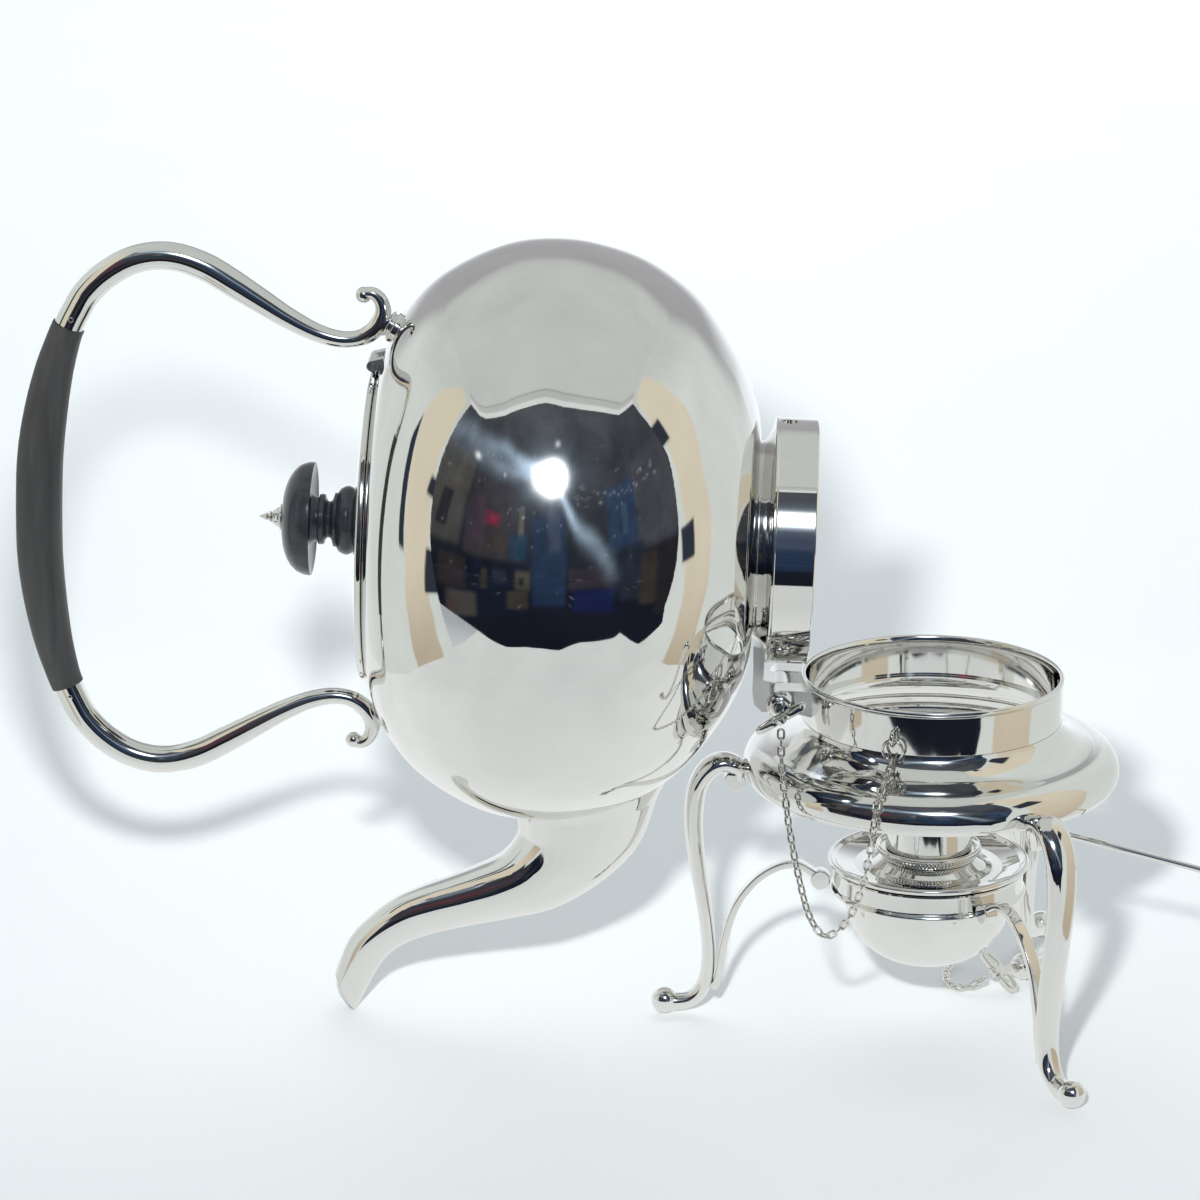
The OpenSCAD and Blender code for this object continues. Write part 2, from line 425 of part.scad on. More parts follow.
// ---------- burner ----------
bowl_out = smooth([[26.6, 45.4], [26.2, 43.8], [25.7, 42], [25.3, 38.6], [24.3, 34], [22, 28.8], [18.2, 24],
  [12.8, 20.6], [6.5, 19], [0.01, 18.7]], 3);
module burner_bowl() color(silver) rotate_extrude() polygon(concat([[25.7, 48.53], [26.6, 48.75]], bowl_out,
  rev([for (i = [0:len(bowl_out) - 1]) let (t = tang(bowl_out, i), q = bowl_out[i] + 0.9 * [t[1], -t[0]]) [max(q[0], 0), q[1]]])));
module burner_pan() color(silver) rotate_extrude() polygon([[13.2, 50.4], [13.6, 50.4], [14.4, 49.7], [16, 48.3], [19, 47.6],
  [22, 47.6], [24.4, 48.25], [28.8, 49.35], [pan_r - 0.3, 49.4], [pan_r, 49.9], [pan_r, 50.5], [pan_r - 0.4, 51], [28.8, 51.05],
  [28.1, 50.7], [27.4, 50.1], [24.6, 49.2], [22, 48.6], [19.2, 48.6], [17, 49.2], [15.2, 50.5], [14, 51.4], [13.2, 51.5]]);
module wick_holder() color(silver) rotate_extrude() polygon([[7.6, 46.4], [8.4, 46.4], [8.4, 49.4], [12.9, 49.4], [12.9, 51.6],
  [13.9, 51.6], [14.1, 52.2], [14.7, 52.8], [15.1, 53.1], [15.3, 53.6], [15.7, 54], [15.7, 54.7], [15.4, 55.1], [14.9, 55.2],
  [14.4, 54.9], [14, 54.2], [8.4, 54.2], [8.4, 59.4], [7.6, 59.4]]);
module wick() color(cotton) translate([0, 0, 30]) cylinder(r = 7.5, h = 31);
module snuffer_cap() color(silver) rotate_extrude() polygon([[snuffer_r - 0.9, 54.5], [snuffer_r, 54.5], [snuffer_r, 68.6],
  [snuffer_r - 0.4, 69.4], [snuffer_r - 1.4, 69.9], [6, 70.4], [0, 70.5], [0, 69.6], [6, 69.5], [snuffer_r - 1.6, 69],
  [snuffer_r - 0.9, 68.2]]);
rod_az = -15;
rod_dn = 9.5;
module at_rod() rotate([0, 0, rod_az]) translate([0, 0, 69.1]) rotate([0, 90 + rod_dn, 0]) children();
module snuffer_socket() color(silver) difference() {
  at_rod() rotate_extrude() polygon([[0, 11], [3, 11], [3, 14.2], [2.5, 15], [2.2, 16.6], [2.2, 18.6], [1.8, 19.2], [0, 19.2]]);
  cylinder(r = snuffer_r + 0.03, h = 200);
  at_rod() cylinder(r = rod_r + 0.03, h = 40);
}
module snuffer_rod() color(silver) difference() {
  at_rod() cylinder(r = rod_r, h = rod_len);
  cylinder(r = snuffer_r + 0.05, h = 200);
}
module snuffer_rod_ring() color(silver) at_rod() translate([0, 0, rod_len + 6.05]) rotate([90, 0, 0])
  rotate_extrude() translate([5, 0]) circle(r = 1, $fn = 24);

stand_collar();
stand_platform();
leg_front();
leg_camera_side();
leg_far_side();
brace_front();
brace_camera_side();
brace_far_side();
burner_ring();
stand_hinge_lugs();
chain_eyelet_near();
chain_eyelet_far();
jump_ring_near();
jump_ring_far();
hinge_pin_chain();
lock_pin_chain();
hinge_pin();
hinge_pin_thumbpiece();
lock_pin();
lock_pin_thumbpiece();
kettle_body();
kettle_base_ring();
kettle_hinge_lug();
spout();
handle_arm_rear();
handle_arm_front();
handle_ferrule_rear();
handle_ferrule_front();
handle_grip();
grip_pin_rear();
grip_pin_front();
lid_hinge_knuckles();
lid_hinge_pin();
lid();
lid_bezel();
lid_hinge_leaf();
knob();
knob_stud();
knob_finial();
knob_nut();
burner_bowl();
burner_pan();
wick_holder();
wick();
snuffer_cap();
snuffer_socket();
snuffer_rod();
snuffer_rod_ring();
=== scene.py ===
import bpy
import bmesh
import math
import random
from mathutils import Matrix, Vector


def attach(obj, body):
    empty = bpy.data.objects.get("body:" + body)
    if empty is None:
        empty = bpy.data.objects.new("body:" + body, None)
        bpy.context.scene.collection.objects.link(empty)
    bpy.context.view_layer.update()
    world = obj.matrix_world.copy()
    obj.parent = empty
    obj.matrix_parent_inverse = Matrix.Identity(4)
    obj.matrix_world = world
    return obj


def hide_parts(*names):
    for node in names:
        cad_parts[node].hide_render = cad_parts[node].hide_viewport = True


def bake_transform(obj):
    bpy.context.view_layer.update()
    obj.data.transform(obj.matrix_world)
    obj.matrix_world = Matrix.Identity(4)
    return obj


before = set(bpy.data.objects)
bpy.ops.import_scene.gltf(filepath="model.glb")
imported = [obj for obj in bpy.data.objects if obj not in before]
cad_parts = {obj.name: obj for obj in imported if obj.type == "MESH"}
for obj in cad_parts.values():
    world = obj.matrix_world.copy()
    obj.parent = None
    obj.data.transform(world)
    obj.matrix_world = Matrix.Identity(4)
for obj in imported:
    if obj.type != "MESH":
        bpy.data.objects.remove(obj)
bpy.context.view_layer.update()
random.seed(7)

MM = 0.001
pi = math.pi


# ---------------------------------------------------------------- helpers
def cr(a, b, c, d, t):
    return tuple(0.5 * ((2 * q) + (r - p) * t + (2 * p - 5 * q + 4 * r - s) * t * t
                        + (3 * q - p - 3 * r + s) * t * t * t) for p, q, r, s in zip(a, b, c, d))


def smooth(P, n):
    m = len(P) - 1
    out = []
    for i in range(m):
        for k in range(n):
            out.append(cr(P[max(i - 1, 0)], P[i], P[i + 1], P[min(i + 2, m)], k / n))
    return out + [tuple(P[m])]


def unit(v):
    n = math.sqrt(sum(x * x for x in v)) or 1.0
    return tuple(x / n for x in v)


def tang(P, i):
    a, b = P[max(i - 1, 0)], P[min(i + 1, len(P) - 1)]
    return unit(tuple(q - p for p, q in zip(a, b)))


def lookup(x, table):
    if x <= table[0][0]:
        return table[0][1]
    for (a, p), (b, q) in zip(table, table[1:]):
        if x <= b:
            return p + (q - p) * (x - a) / (b - a) if b > a else q
    return table[-1][1]


def rounded(P, r, n=4, closed=True):
    """The polygon P with its corners eased by about r mm, for highlights along turned edges."""
    out = []
    m = len(P)
    for i in range(m):
        p = Vector(P[i])
        if not closed and i in (0, m - 1):
            out.append(tuple(p))
            continue
        a, b = Vector(P[i - 1]) - p, Vector(P[(i + 1) % m]) - p
        if p[0] < 1e-6 or a.length < 1e-6 or b.length < 1e-6:
            out.append(tuple(p))
            continue
        bend = a.angle(b)
        if bend > math.radians(165):
            out.append(tuple(p))
            continue
        k = min(r, 0.35 * a.length, 0.35 * b.length)
        s, e = p + a.normalized() * k, p + b.normalized() * k
        for j in range(n + 1):
            t = j / n
            out.append(tuple((1 - t) ** 2 * s + 2 * t * (1 - t) * p + t * t * e))
    return out


def bored(bm, cutters):
    """bm with the solids in cutters taken away; every mesh is in its own plain coordinates."""
    bmesh.ops.remove_doubles(bm, verts=bm.verts, dist=1e-5)
    bmesh.ops.recalc_face_normals(bm, faces=bm.faces)
    obs = []
    for i, b_ in enumerate([bm] + cutters):
        bmesh.ops.recalc_face_normals(b_, faces=b_.faces)
        me = bpy.data.meshes.new("tmp_cut")
        b_.to_mesh(me)
        b_.free()
        ob = bpy.data.objects.new("tmp_cut", me)
        bpy.context.scene.collection.objects.link(ob)
        obs.append(ob)
    for c in obs[1:]:
        m = obs[0].modifiers.new("cut", "BOOLEAN")
        m.operation = "DIFFERENCE"
        m.solver = "EXACT"
        m.object = c
    dg = bpy.context.evaluated_depsgraph_get()
    res = obs[0].evaluated_get(dg).to_mesh()
    out_bm = bmesh.new()
    out_bm.from_mesh(res)
    for ob in obs:
        me = ob.data
        bpy.data.objects.remove(ob)
        bpy.data.meshes.remove(me)
    return out_bm


def rod_bm(r, a, b, n=48):
    """A plain cylinder of radius r from a to b."""
    a, b = Vector(a), Vector(b)
    q = (b - a).to_track_quat("Z", "Y").to_matrix().to_4x4()
    part = lathe_bm([(0, 0), (r, 0), (r, (b - a).length), (0, (b - a).length)], n)
    part.transform(Matrix.Translation(a) @ q)
    return part


def torus_bm(R0, r, M, n=64, k=20, bm=None):
    bm = bm or bmesh.new()
    rows = []
    for i in range(n):
        a = 2 * pi * i / n
        rows.append([bm.verts.new(M @ Vector(((R0 + r * math.cos(f)) * math.cos(a), (R0 + r * math.cos(f)) * math.sin(a), r * math.sin(f))))
                     for f in (2 * pi * j / k for j in range(k))])
    for i in range(n):
        A, B = rows[i], rows[(i + 1) % n]
        for j in range(k):
            bm.faces.new((A[j], B[j], B[(j + 1) % k], A[(j + 1) % k]))
    return bm


def to_object(bm, name, M, body, mat, nodes=(), sharp=32):
    bmesh.ops.remove_doubles(bm, verts=bm.verts, dist=1e-5)
    bmesh.ops.recalc_face_normals(bm, faces=bm.faces)
    me = bpy.data.meshes.new(name)
    bm.to_mesh(me)
    bm.free()
    me.transform(Matrix.Scale(MM, 4) @ M)
    me.polygons.foreach_set("use_smooth", [True] * len(me.polygons))
    me.set_sharp_from_angle(angle=math.radians(sharp))
    ob = bpy.data.objects.new(name, me)
    bpy.context.scene.collection.objects.link(ob)
    me.materials.append(mat)
    if nodes:
        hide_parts(*nodes)
    if body:
        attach(ob, body)
    return ob


def lathe_bm(prof, segs=192, wobble=None, bm=None, close=True, sweep=None):
    """A closed (radius, height) outline turned about Z."""
    bm = bm or bmesh.new()
    rings = []
    for (r, z) in prof:
        if r < 1e-4:
            rings.append([bm.verts.new((0, 0, z))])
        else:
            row = []
            for k in range(segs):
                a = 2 * pi * k / segs
                rr = r + (wobble(r, z, a) if wobble else 0)
                row.append(bm.verts.new((rr * math.cos(a), rr * math.sin(a), z)))
            rings.append(row)
    n = len(rings)
    for i in range(n if close else n - 1):
        A, B = rings[i], rings[(i + 1) % n]
        if len(A) == 1 and len(B) == 1:
            continue
        for k in range(segs):
            k2 = (k + 1) % segs
            if len(A) == 1:
                f = (A[0], B[k], B[k2])
            elif len(B) == 1:
                f = (A[k], B[0], A[k2])
            else:
                f = (A[k], B[k], B[k2], A[k2])
            bm.faces.new(f)
    return bm


def held(prof, near=0.12):
    """Extra points just inside the ends of long straight runs beside a corner, so that smooth shading stays true along them."""
    out = []
    n = len(prof)
    P = [Vector(p) for p in prof]
    for i in range(n):
        a, b = P[i], P[(i + 1) % n]
        out.append(tuple(a))
        d = b - a
        if d.length < 0.9 or i == n - 1:
            continue
        before, after = a - P[i - 1], P[(i + 2) % n] - b
        L_, d = d.length, d.normalized()
        turned = [v.length > 1e-6 and v.angle(d) > math.radians(7) for v in (before, after)]
        if turned[0]:
            out.append(tuple(a + d * near))
        if turned[1]:
            out.append(tuple(b - d * near))
    return out


def lathe(name, prof, body, mat, nodes=(), M=Matrix(), segs=192, wobble=None, sharp=32, cutters=()):
    bm = lathe_bm(held(prof), segs, wobble)
    if cutters:
        bm = bored(bm, list(cutters))
    return to_object(bm, name, M, body, mat, nodes, sharp)


def skin_bm(R, bm=None, caps=True, crown=0.0):
    bm = bm or bmesh.new()
    rows = [[bm.verts.new(p) for p in r] for r in R]
    n = len(R[0])
    for A, B in zip(rows, rows[1:]):
        for k in range(n):
            k2 = (k + 1) % n
            bm.faces.new((A[k], A[k2], B[k2], B[k]))
    if caps:
        for row, nxt, sgn in ((rows[0], rows[1], 1), (rows[-1], rows[-2], 1)):
            c = sum((v.co for v in row), Vector()) / n
            d = c - sum((v.co for v in nxt), Vector()) / n
            rad = max((v.co - c).length for v in row)
            top = bm.verts.new(c + (d.normalized() * rad * crown if d.length > 1e-9 else Vector()))
            for k in range(n):
                bm.faces.new((row[k], row[(k + 1) % n], top))
    return bm


def bent_rings(path, n=40, power=2.0):
    """Rings of a rod bent in the XZ plane; path entries are (x, z, half thickness, half width)."""
    R = []
    P2 = [(p[0], p[1]) for p in path]
    for i, p in enumerate(path):
        t = tang(P2, i)
        row = []
        for k in range(n):
            f = 2 * pi * k / n
            c, s = math.cos(f), math.sin(f)
            if power != 2.0:
                c = math.copysign(abs(c) ** (2 / power), c)
                s = math.copysign(abs(s) ** (2 / power), s)
            row.append((p[0] - t[1] * p[2] * c, p[3] * s, p[1] + t[0] * p[2] * c))
        R.append(row)
    return R


def ball_bm(c, r, bm, seg=40):
    m = bmesh.ops.create_uvsphere(bm, u_segments=seg, v_segments=seg // 2, radius=r)
    bmesh.ops.translate(bm, verts=m["verts"], vec=Vector(c))
    return bm


def rotz(a):
    return Matrix.Rotation(math.radians(a), 4, "Z")


# ---------------------------------------------------------------- measures shared with the CAD source
kettle_tip = 87.8
collar_r, collar_top, collar_h = 38.2, 108.4, 13.2
foot_r, foot_ball_r = 78.5, 4.0
brace_w, brace_t = 3.8, 2.1
hinge_x, hinge_z, hinge_pin_r, knuckle_r = 44.8, 103.7, 2.0, 3.1
seat_z, wall, ring_r, ring_h, lock_hole_r = 96.4, 1.2, 35.85, 12.0, 2.3
lid_r, knob_cap_r, stud_r = 46.2, 16.6, 1.5
pan_r, snuffer_r, rod_len, rod_r = 29.9, 12.9, 118.0, 1.0

KETTLE = (Matrix.Translation((-hinge_x, 0, hinge_z)) @ Matrix.Rotation(math.radians(-kettle_tip), 4, "Y")
          @ Matrix.Translation((hinge_x, 0, seat_z - hinge_z)))
I4 = Matrix()
FLIP = Matrix.Scale(-1, 4, (1, 0, 0))


# ---------------------------------------------------------------- materials
def nodes_of(mat):
    mat.use_nodes = True
    nt = mat.node_tree
    return nt, nt.nodes["Principled BSDF"]


def link(nt, a, b):
    nt.links.new(a, b)


def noise(nt, scale, detail=4.0, rough=0.55, distort=0.0, stretch=(1, 1, 1), rot=(0, 0, 0)):
    tc = nt.nodes.new("ShaderNodeTexCoord")
    mp = nt.nodes.new("ShaderNodeMapping")
    mp.inputs["Scale"].default_value = stretch
    mp.inputs["Rotation"].default_value = rot
    n = nt.nodes.new("ShaderNodeTexNoise")
    n.inputs["Scale"].default_value = scale
    n.inputs["Detail"].default_value = detail
    n.inputs["Roughness"].default_value = rough
    n.inputs["Distortion"].default_value = distort
    link(nt, tc.outputs["Object"], mp.inputs["Vector"])
    link(nt, mp.outputs["Vector"], n.inputs["Vector"])
    return n


def maprange(nt, src, a, b, c, d):
    m = nt.nodes.new("ShaderNodeMapRange")
    m.inputs["From Min"].default_value = a
    m.inputs["From Max"].default_value = b
    m.inputs["To Min"].default_value = c
    m.inputs["To Max"].default_value = d
    link(nt, src, m.inputs["Value"])
    return m.outputs["Result"]


def silver(name, rough=(0.025, 0.06), tint=((0.745, 0.74, 0.715, 1), (0.785, 0.78, 0.76, 1)), scratch=0.02, scale=60.0):
    mat = bpy.data.materials.new(name)
    nt, b = nodes_of(mat)
    b.inputs["Metallic"].default_value = 1.0
    n1 = noise(nt, scale, 6, 0.6)
    link(nt, maprange(nt, n1.outputs["Fac"], 0.35, 0.7, rough[0], rough[1]), b.inputs["Roughness"])
    ramp = nt.nodes.new("ShaderNodeValToRGB")
    ramp.color_ramp.elements[0].color = tint[0]
    ramp.color_ramp.elements[1].color = tint[1]
    n2 = noise(nt, 18.0, 5, 0.6)
    link(nt, n2.outputs["Fac"], ramp.inputs["Fac"])
    link(nt, ramp.outputs["Color"], b.inputs["Base Color"])
    # hair-fine polishing marks
    n3 = noise(nt, 900.0, 3, 0.7, 0.4, (1.0, 0.06, 0.06), (0.3, 0.5, 0.2))
    bump = nt.nodes.new("ShaderNodeBump")
    bump.inputs["Strength"].default_value = scratch
    bump.inputs["Distance"].default_value = 0.0002
    link(nt, n3.outputs["Fac"], bump.inputs["Height"])
    link(nt, bump.outputs["Normal"], b.inputs["Normal"])
    return mat


M_BODY = silver("polished_silver_body", (0.018, 0.05), scratch=0.015, scale=45)
M_SILVER = silver("polished_silver", (0.03, 0.075), scratch=0.025)
M_INSIDE = silver("silver_inside", (0.10, 0.22), ((0.66, 0.65, 0.61, 1), (0.74, 0.73, 0.70, 1)), 0.05)
M_CHAIN = silver("silver_chain", (0.06, 0.14), ((0.68, 0.665, 0.62, 1), (0.78, 0.77, 0.73, 1)), 0.03)
# rougher worn silver with a much brighter tint, a painted brightening so the hinge parts read bright rather than dark
M_WORN_BRIGHTENED = silver("silver_worn_brightened", (0.26, 0.40), ((0.93, 0.92, 0.89, 1), (0.98, 0.975, 0.95, 1)), 0.10, 90)


def ebony(name, dark, light, rough, stretch, bumps):
    mat = bpy.data.materials.new(name)
    nt, b = nodes_of(mat)
    n1 = noise(nt, 260.0, 6, 0.6, 0.3, stretch)
    ramp = nt.nodes.new("ShaderNodeValToRGB")
    ramp.color_ramp.elements[0].position = 0.32
    ramp.color_ramp.elements[1].position = 0.72
    ramp.color_ramp.elements[0].color = dark
    ramp.color_ramp.elements[1].color = light
    link(nt, n1.outputs["Fac"], ramp.inputs["Fac"])
    link(nt, ramp.outputs["Color"], b.inputs["Base Color"])
    n2 = noise(nt, 90.0, 5, 0.6, 0.0, stretch)
    link(nt, maprange(nt, n2.outputs["Fac"], 0.3, 0.7, rough[0], rough[1]), b.inputs["Roughness"])
    b.inputs["Specular IOR Level"].default_value = 0.5
    n3 = noise(nt, 700.0, 4, 0.7, 0.2, stretch)
    bump = nt.nodes.new("ShaderNodeBump")
    bump.inputs["Strength"].default_value = bumps
    bump.inputs["Distance"].default_value = 0.0003
    link(nt, n3.outputs["Fac"], bump.inputs["Height"])
    link(nt, bump.outputs["Normal"], b.inputs["Normal"])
    return mat


M_GRIP = ebony("ebony_grip", (0.022, 0.022, 0.023, 1), (0.046, 0.045, 0.046, 1), (0.38, 0.55), (1.0, 1.0, 0.08), 0.35)
M_KNOB = ebony("ebony_knob", (0.012, 0.014, 0.018, 1), (0.026, 0.029, 0.036, 1), (0.16, 0.28), (0.1, 1.0, 1.0), 0.12)

M_WICK = bpy.data.materials.new("cotton_wick")
_nt, _b = nodes_of(M_WICK)
_v = _nt.nodes.new("ShaderNodeTexVoronoi")
_v.inputs["Scale"].default_value = 900
_r = _nt.nodes.new("ShaderNodeValToRGB")
_r.color_ramp.elements[0].color = (0.80, 0.77, 0.69, 1)
_r.color_ramp.elements[1].color = (0.52, 0.47, 0.38, 1)
link(_nt, _v.outputs["Distance"], _r.inputs["Fac"])
link(_nt, _r.outputs["Color"], _b.inputs["Base Color"])
_bp = _nt.nodes.new("ShaderNodeBump")
_bp.inputs["Strength"].default_value = 0.8
_bp.inputs["Distance"].default_value = 0.0006
link(_nt, _v.outputs["Distance"], _bp.inputs["Height"])
link(_nt, _bp.outputs["Normal"], _b.inputs["Normal"])
_b.inputs["Roughness"].default_value = 0.95

# carried-over CAD nodes first all get polished silver
for _n, _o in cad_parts.items():
    _o.data.materials.clear()
    _o.data.materials.append(M_SILVER)

# ---------------------------------------------------------------- stand
lathe("collar", rounded([(34.9, 95.2), (collar_r, 95.2), (collar_r, 106.6)], 0.15)
      + smooth([(collar_r, 106.7), (collar_r + 0.25, 106.95), (collar_r + 0.47, 107.45), (collar_r + 0.4, 108.0),
                (collar_r + 0.1, 108.33), (37.9, 108.4), (37.45, 108.2), (37.15, 107.6), (36.95, 106.5), (36.9, 105.4)], 4)
      + [(36.9, 96.15), (36.85, 96.1), (34.95, 96.1), (34.9, 96.05)],
      "stand", M_SILVER, ("stand_collar",), segs=256,
      cutters=[rod_bm(lock_hole_r, (30, 0, seat_z + 8.4), (42, 0, seat_z + 8.4))])

platform_out = smooth([(38.25, 95.17), (38.7, 93.6), (40.4, 91.4), (43.4, 89.3), (47, 87.9), (50, 87.2),
                       (52.6, 86), (54.6, 83.8), (55.5, 81), (55.3, 78.4), (54.2, 76.6)], 12)
platform_in = smooth([(53.2, 77.1), (54, 78.8), (54.2, 81), (53.4, 83.2), (51.9, 84.9), (49.8, 85.9),
                      (46.6, 86.6), (42.6, 88.1), (39.3, 90.3), (37.5, 92.8), (36.95, 95.17)], 12)
lathe("platform", platform_out + platform_in, "stand", M_SILVER, ("stand_platform",), segs=256)

leg_ctrl = [(56.6, 74.6, 1.5, 2.8), (56.9, 78.2, 2.6, 3.8), (60.9, 80, 3, 4.5), (65.4, 78.2, 3.1, 4.8),
            (68.8, 72.9, 3, 4.8), (70, 65.4, 2.85, 4.7), (69.9, 57, 2.7, 4.5), (68.8, 47.6, 2.5, 4.3),
            (67.3, 38, 2.3, 4.2), (66, 29, 2.15, 4.1), (65.4, 20.5, 2.1, 3.8), (65.8, 13, 2.15, 3.5),
            (67.4, 7.8, 2.3, 3.3), (70.6, 4.6, 2.4, 3.1), (74.6, 3.6, 2.6, 3), (foot_r - 1.4, 3.8, 2.8, 3)]
brace_ctrl = [(63.2, 9.4), (62, 14.4), (60.5, 23.6), (57.4, 34.2), (52, 42.2), (45.6, 46.9), (39.2, 48.2), (33.6, 45.1)]


def disc_bm(bm, c, r, w, seg=48, ease=0.35):
    """A short drum across the leg's plane, its edges eased."""
    prof = rounded([(0, -w / 2), (r, -w / 2), (r, w / 2), (0, w / 2)], ease)
    part = lathe_bm(prof, seg)
    me = bpy.data.meshes.new("tmp")
    part.to_mesh(me)
    part.free()
    me.transform(Matrix.Translation(Vector(c)) @ Matrix.Rotation(pi / 2, 4, "X"))
    bm.from_mesh(me)
    bpy.data.meshes.remove(me)
    return bm


def strap_bm(ctrl, t, w, n=10, bm=None):
    """A flat strap with eased edges following ctrl in the XZ plane."""
    P = smooth(ctrl, n)
    sec = rounded([(-t / 2, -w / 2), (t / 2, -w / 2), (t / 2, w / 2), (-t / 2, w / 2)], 0.45, 5)
    sec = []
    e = 0.45
    for cx, cy, a0 in ((t / 2 - e, w / 2 - e, 0), (-t / 2 + e, w / 2 - e, 90), (-t / 2 + e, -w / 2 + e, 180), (t / 2 - e, -w / 2 + e, 270)):
        for j in range(6):
            a = math.radians(a0 + 18 * j)
            sec.append((cx + e * math.cos(a), cy + e * math.sin(a)))
    R = []
    for i, p in enumerate(P):
        d = tang(P, i)
        R.append([(p[0] - d[1] * s[0], s[1], p[1] + d[0] * s[0]) for s in sec])
    return skin_bm(R, bm)


for tag, a in (("front", 180), ("camera_side", -60), ("far_side", 60)):
    bm = skin_bm(bent_rings(smooth(leg_ctrl, 8), 40))
    ball_bm((foot_r, 0, foot_ball_r), foot_ball_r - 0.02, bm)
    disc_bm(bm, (57.9, 0, 74.9), 3.2, 5.6)
    to_object(bm, "leg_" + tag + "_form", rotz(a), "stand", M_SILVER, ("leg_" + tag,))
    bm = strap_bm(brace_ctrl, brace_t, brace_w)
    disc_bm(bm, (32.15, 0, 43.6), 2.95, brace_w + 0.4)
    disc_bm(bm, (63.4, 0, 9.4), 1.4, brace_w - 0.1)
    to_object(bm, "brace_" + tag + "_form", rotz(a), "stand", M_SILVER, ("brace_" + tag,))

lathe("burner_ring_form", rounded([(27.2, 41), (28.5, 40.6)], 0.2, closed=False)
      + smooth([(28.5, 40.6), (29, 41), (29.1, 41.7), (28.8, 42.3), (28.4, 42.8), (28.3, 43.4)], 4)
      + [(28.3, 47.5), (28.45, 47.8), (28.7, 48.1), (28.62, 48.5), (28.5, 48.55), (27.2, 48.55)], "stand", M_SILVER, ("burner_ring",))

# ---------------------------------------------------------------- chains
link_pitch, link_wire, link_wid = 2.5, 0.36, 2.5
link_len = link_pitch + 1.2


def oval_link(bm, M):
    r = link_wid / 2 - link_wire
    s = link_len / 2 - link_wid / 2
    C = []
    for k in range(20):
        a = pi * k / 19 - pi / 2
        C.append((s + r * math.cos(a), r * math.sin(a)))
    for k in range(20):
        a = pi * k / 19 + pi / 2
        C.append((-s + r * math.cos(a), r * math.sin(a)))
    rows = []
    n = len(C)
    for i, c in enumerate(C):
        a, b = C[i - 1], C[(i + 1) % n]
        t = unit((b[0] - a[0], b[1] - a[1]))
        nx, nz = -t[1], t[0]
        rows.append([bm.verts.new(M @ Vector((c[0] + nx * link_wire * math.cos(f), link_wire * math.sin(f),
                                              c[1] + nz * link_wire * math.cos(f))))
                     for f in (2 * pi * k / 10 for k in range(10))])
    for i in range(n):
        A, B = rows[i], rows[(i + 1) % n]
        for k in range(10):
            bm.faces.new((A[k], A[(k + 1) % 10], B[(k + 1) % 10], B[k]))


def chain(name, ctrl, node, roll=0):
    Q = smooth(ctrl, 6)
    D = [0.0]
    for a, b in zip(Q, Q[1:]):
        D.append(D[-1] + (Vector(b) - Vector(a)).length)
    T = [[(D[i], Q[i][j]) for i in range(len(Q))] for j in range(3)]
    n = int((D[-1] - 1.2) // link_pitch)
    step = (D[-1] - 1.2) / n
    bm = bmesh.new()
    for i in range(n + 1):
        d = 0.6 + i * step
        a = Vector([lookup(d - 0.6, t) for t in T])
        b = Vector([lookup(d + 0.6, t) for t in T])
        v = (b - a).normalized()
        M = (Matrix.Translation((a + b) / 2) @ Matrix.Rotation(math.atan2(v[1], v[0]), 4, "Z")
             @ Matrix.Rotation(-math.asin(v[2]), 4, "Y") @ Matrix.Rotation(math.radians(roll + 90 * (i % 2)), 4, "X"))
        oval_link(bm, M)
    ob = to_object(bm, name, I4, None, M_CHAIN, (node,), 80)
    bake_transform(ob)
    return ob


chain("front_pin_chain", [(-12.79, -38.2, 93.8), (-13.7, -40.9, 92), (-15.6, -47.6, 89.6),
                          (-17.4, -52.4, 86.2), (-18.2, -54.3, 80.6), (-19.2, -54.6, 72.4), (-21.6, -54.2, 60), (-25.6, -53, 50),
                          (-31.4, -50.6, 44.6), (-36, -47.8, 49.4), (-39.2, -44.6, 60), (-41.8, -41, 72), (-43.2, -39, 80.7),
                          (-44.2, -36.6, 88), (-44.7, -34.7, 94.6), (-44.8, -33.6, 100.6)],
      "hinge_pin_chain")
chain("rear_pin_chain", [(12.79, 38.2, 93.8), (13.7, 40.9, 92), (15.8, 47.8, 89.6),
                         (17.4, 52.6, 86.1), (17.6, 54.6, 80.4), (17, 54.8, 66), (16, 53.6, 46), (14.6, 50.4, 24), (12.6, 45.4, 8),
                         (10, 39.6, 2.6), (8, 33, 1.45), (7.6, 27, 1.4), (8.6, 21.8, 1.4), (11.4, 18.8, 1.5), (15.2, 18, 2.6),
                         (18.4, 18.3, 4.5)],
      "lock_pin_chain")

# ---------------------------------------------------------------- kettle body
body_zr = smooth([(16.4, 28.6), (17.3, 36), (19.6, 43.8), (25.6, 55.4), (36.4, 69.2), (51.2, 79.3), (66, 83.9),
                  (78, 85), (90, 83.6), (101, 79.4), (112, 72.6), (119.6, 64.6), (124.9, 55.6), (127.9, 46.9)], 9)


def body_r(z):
    return lookup(z, body_zr)


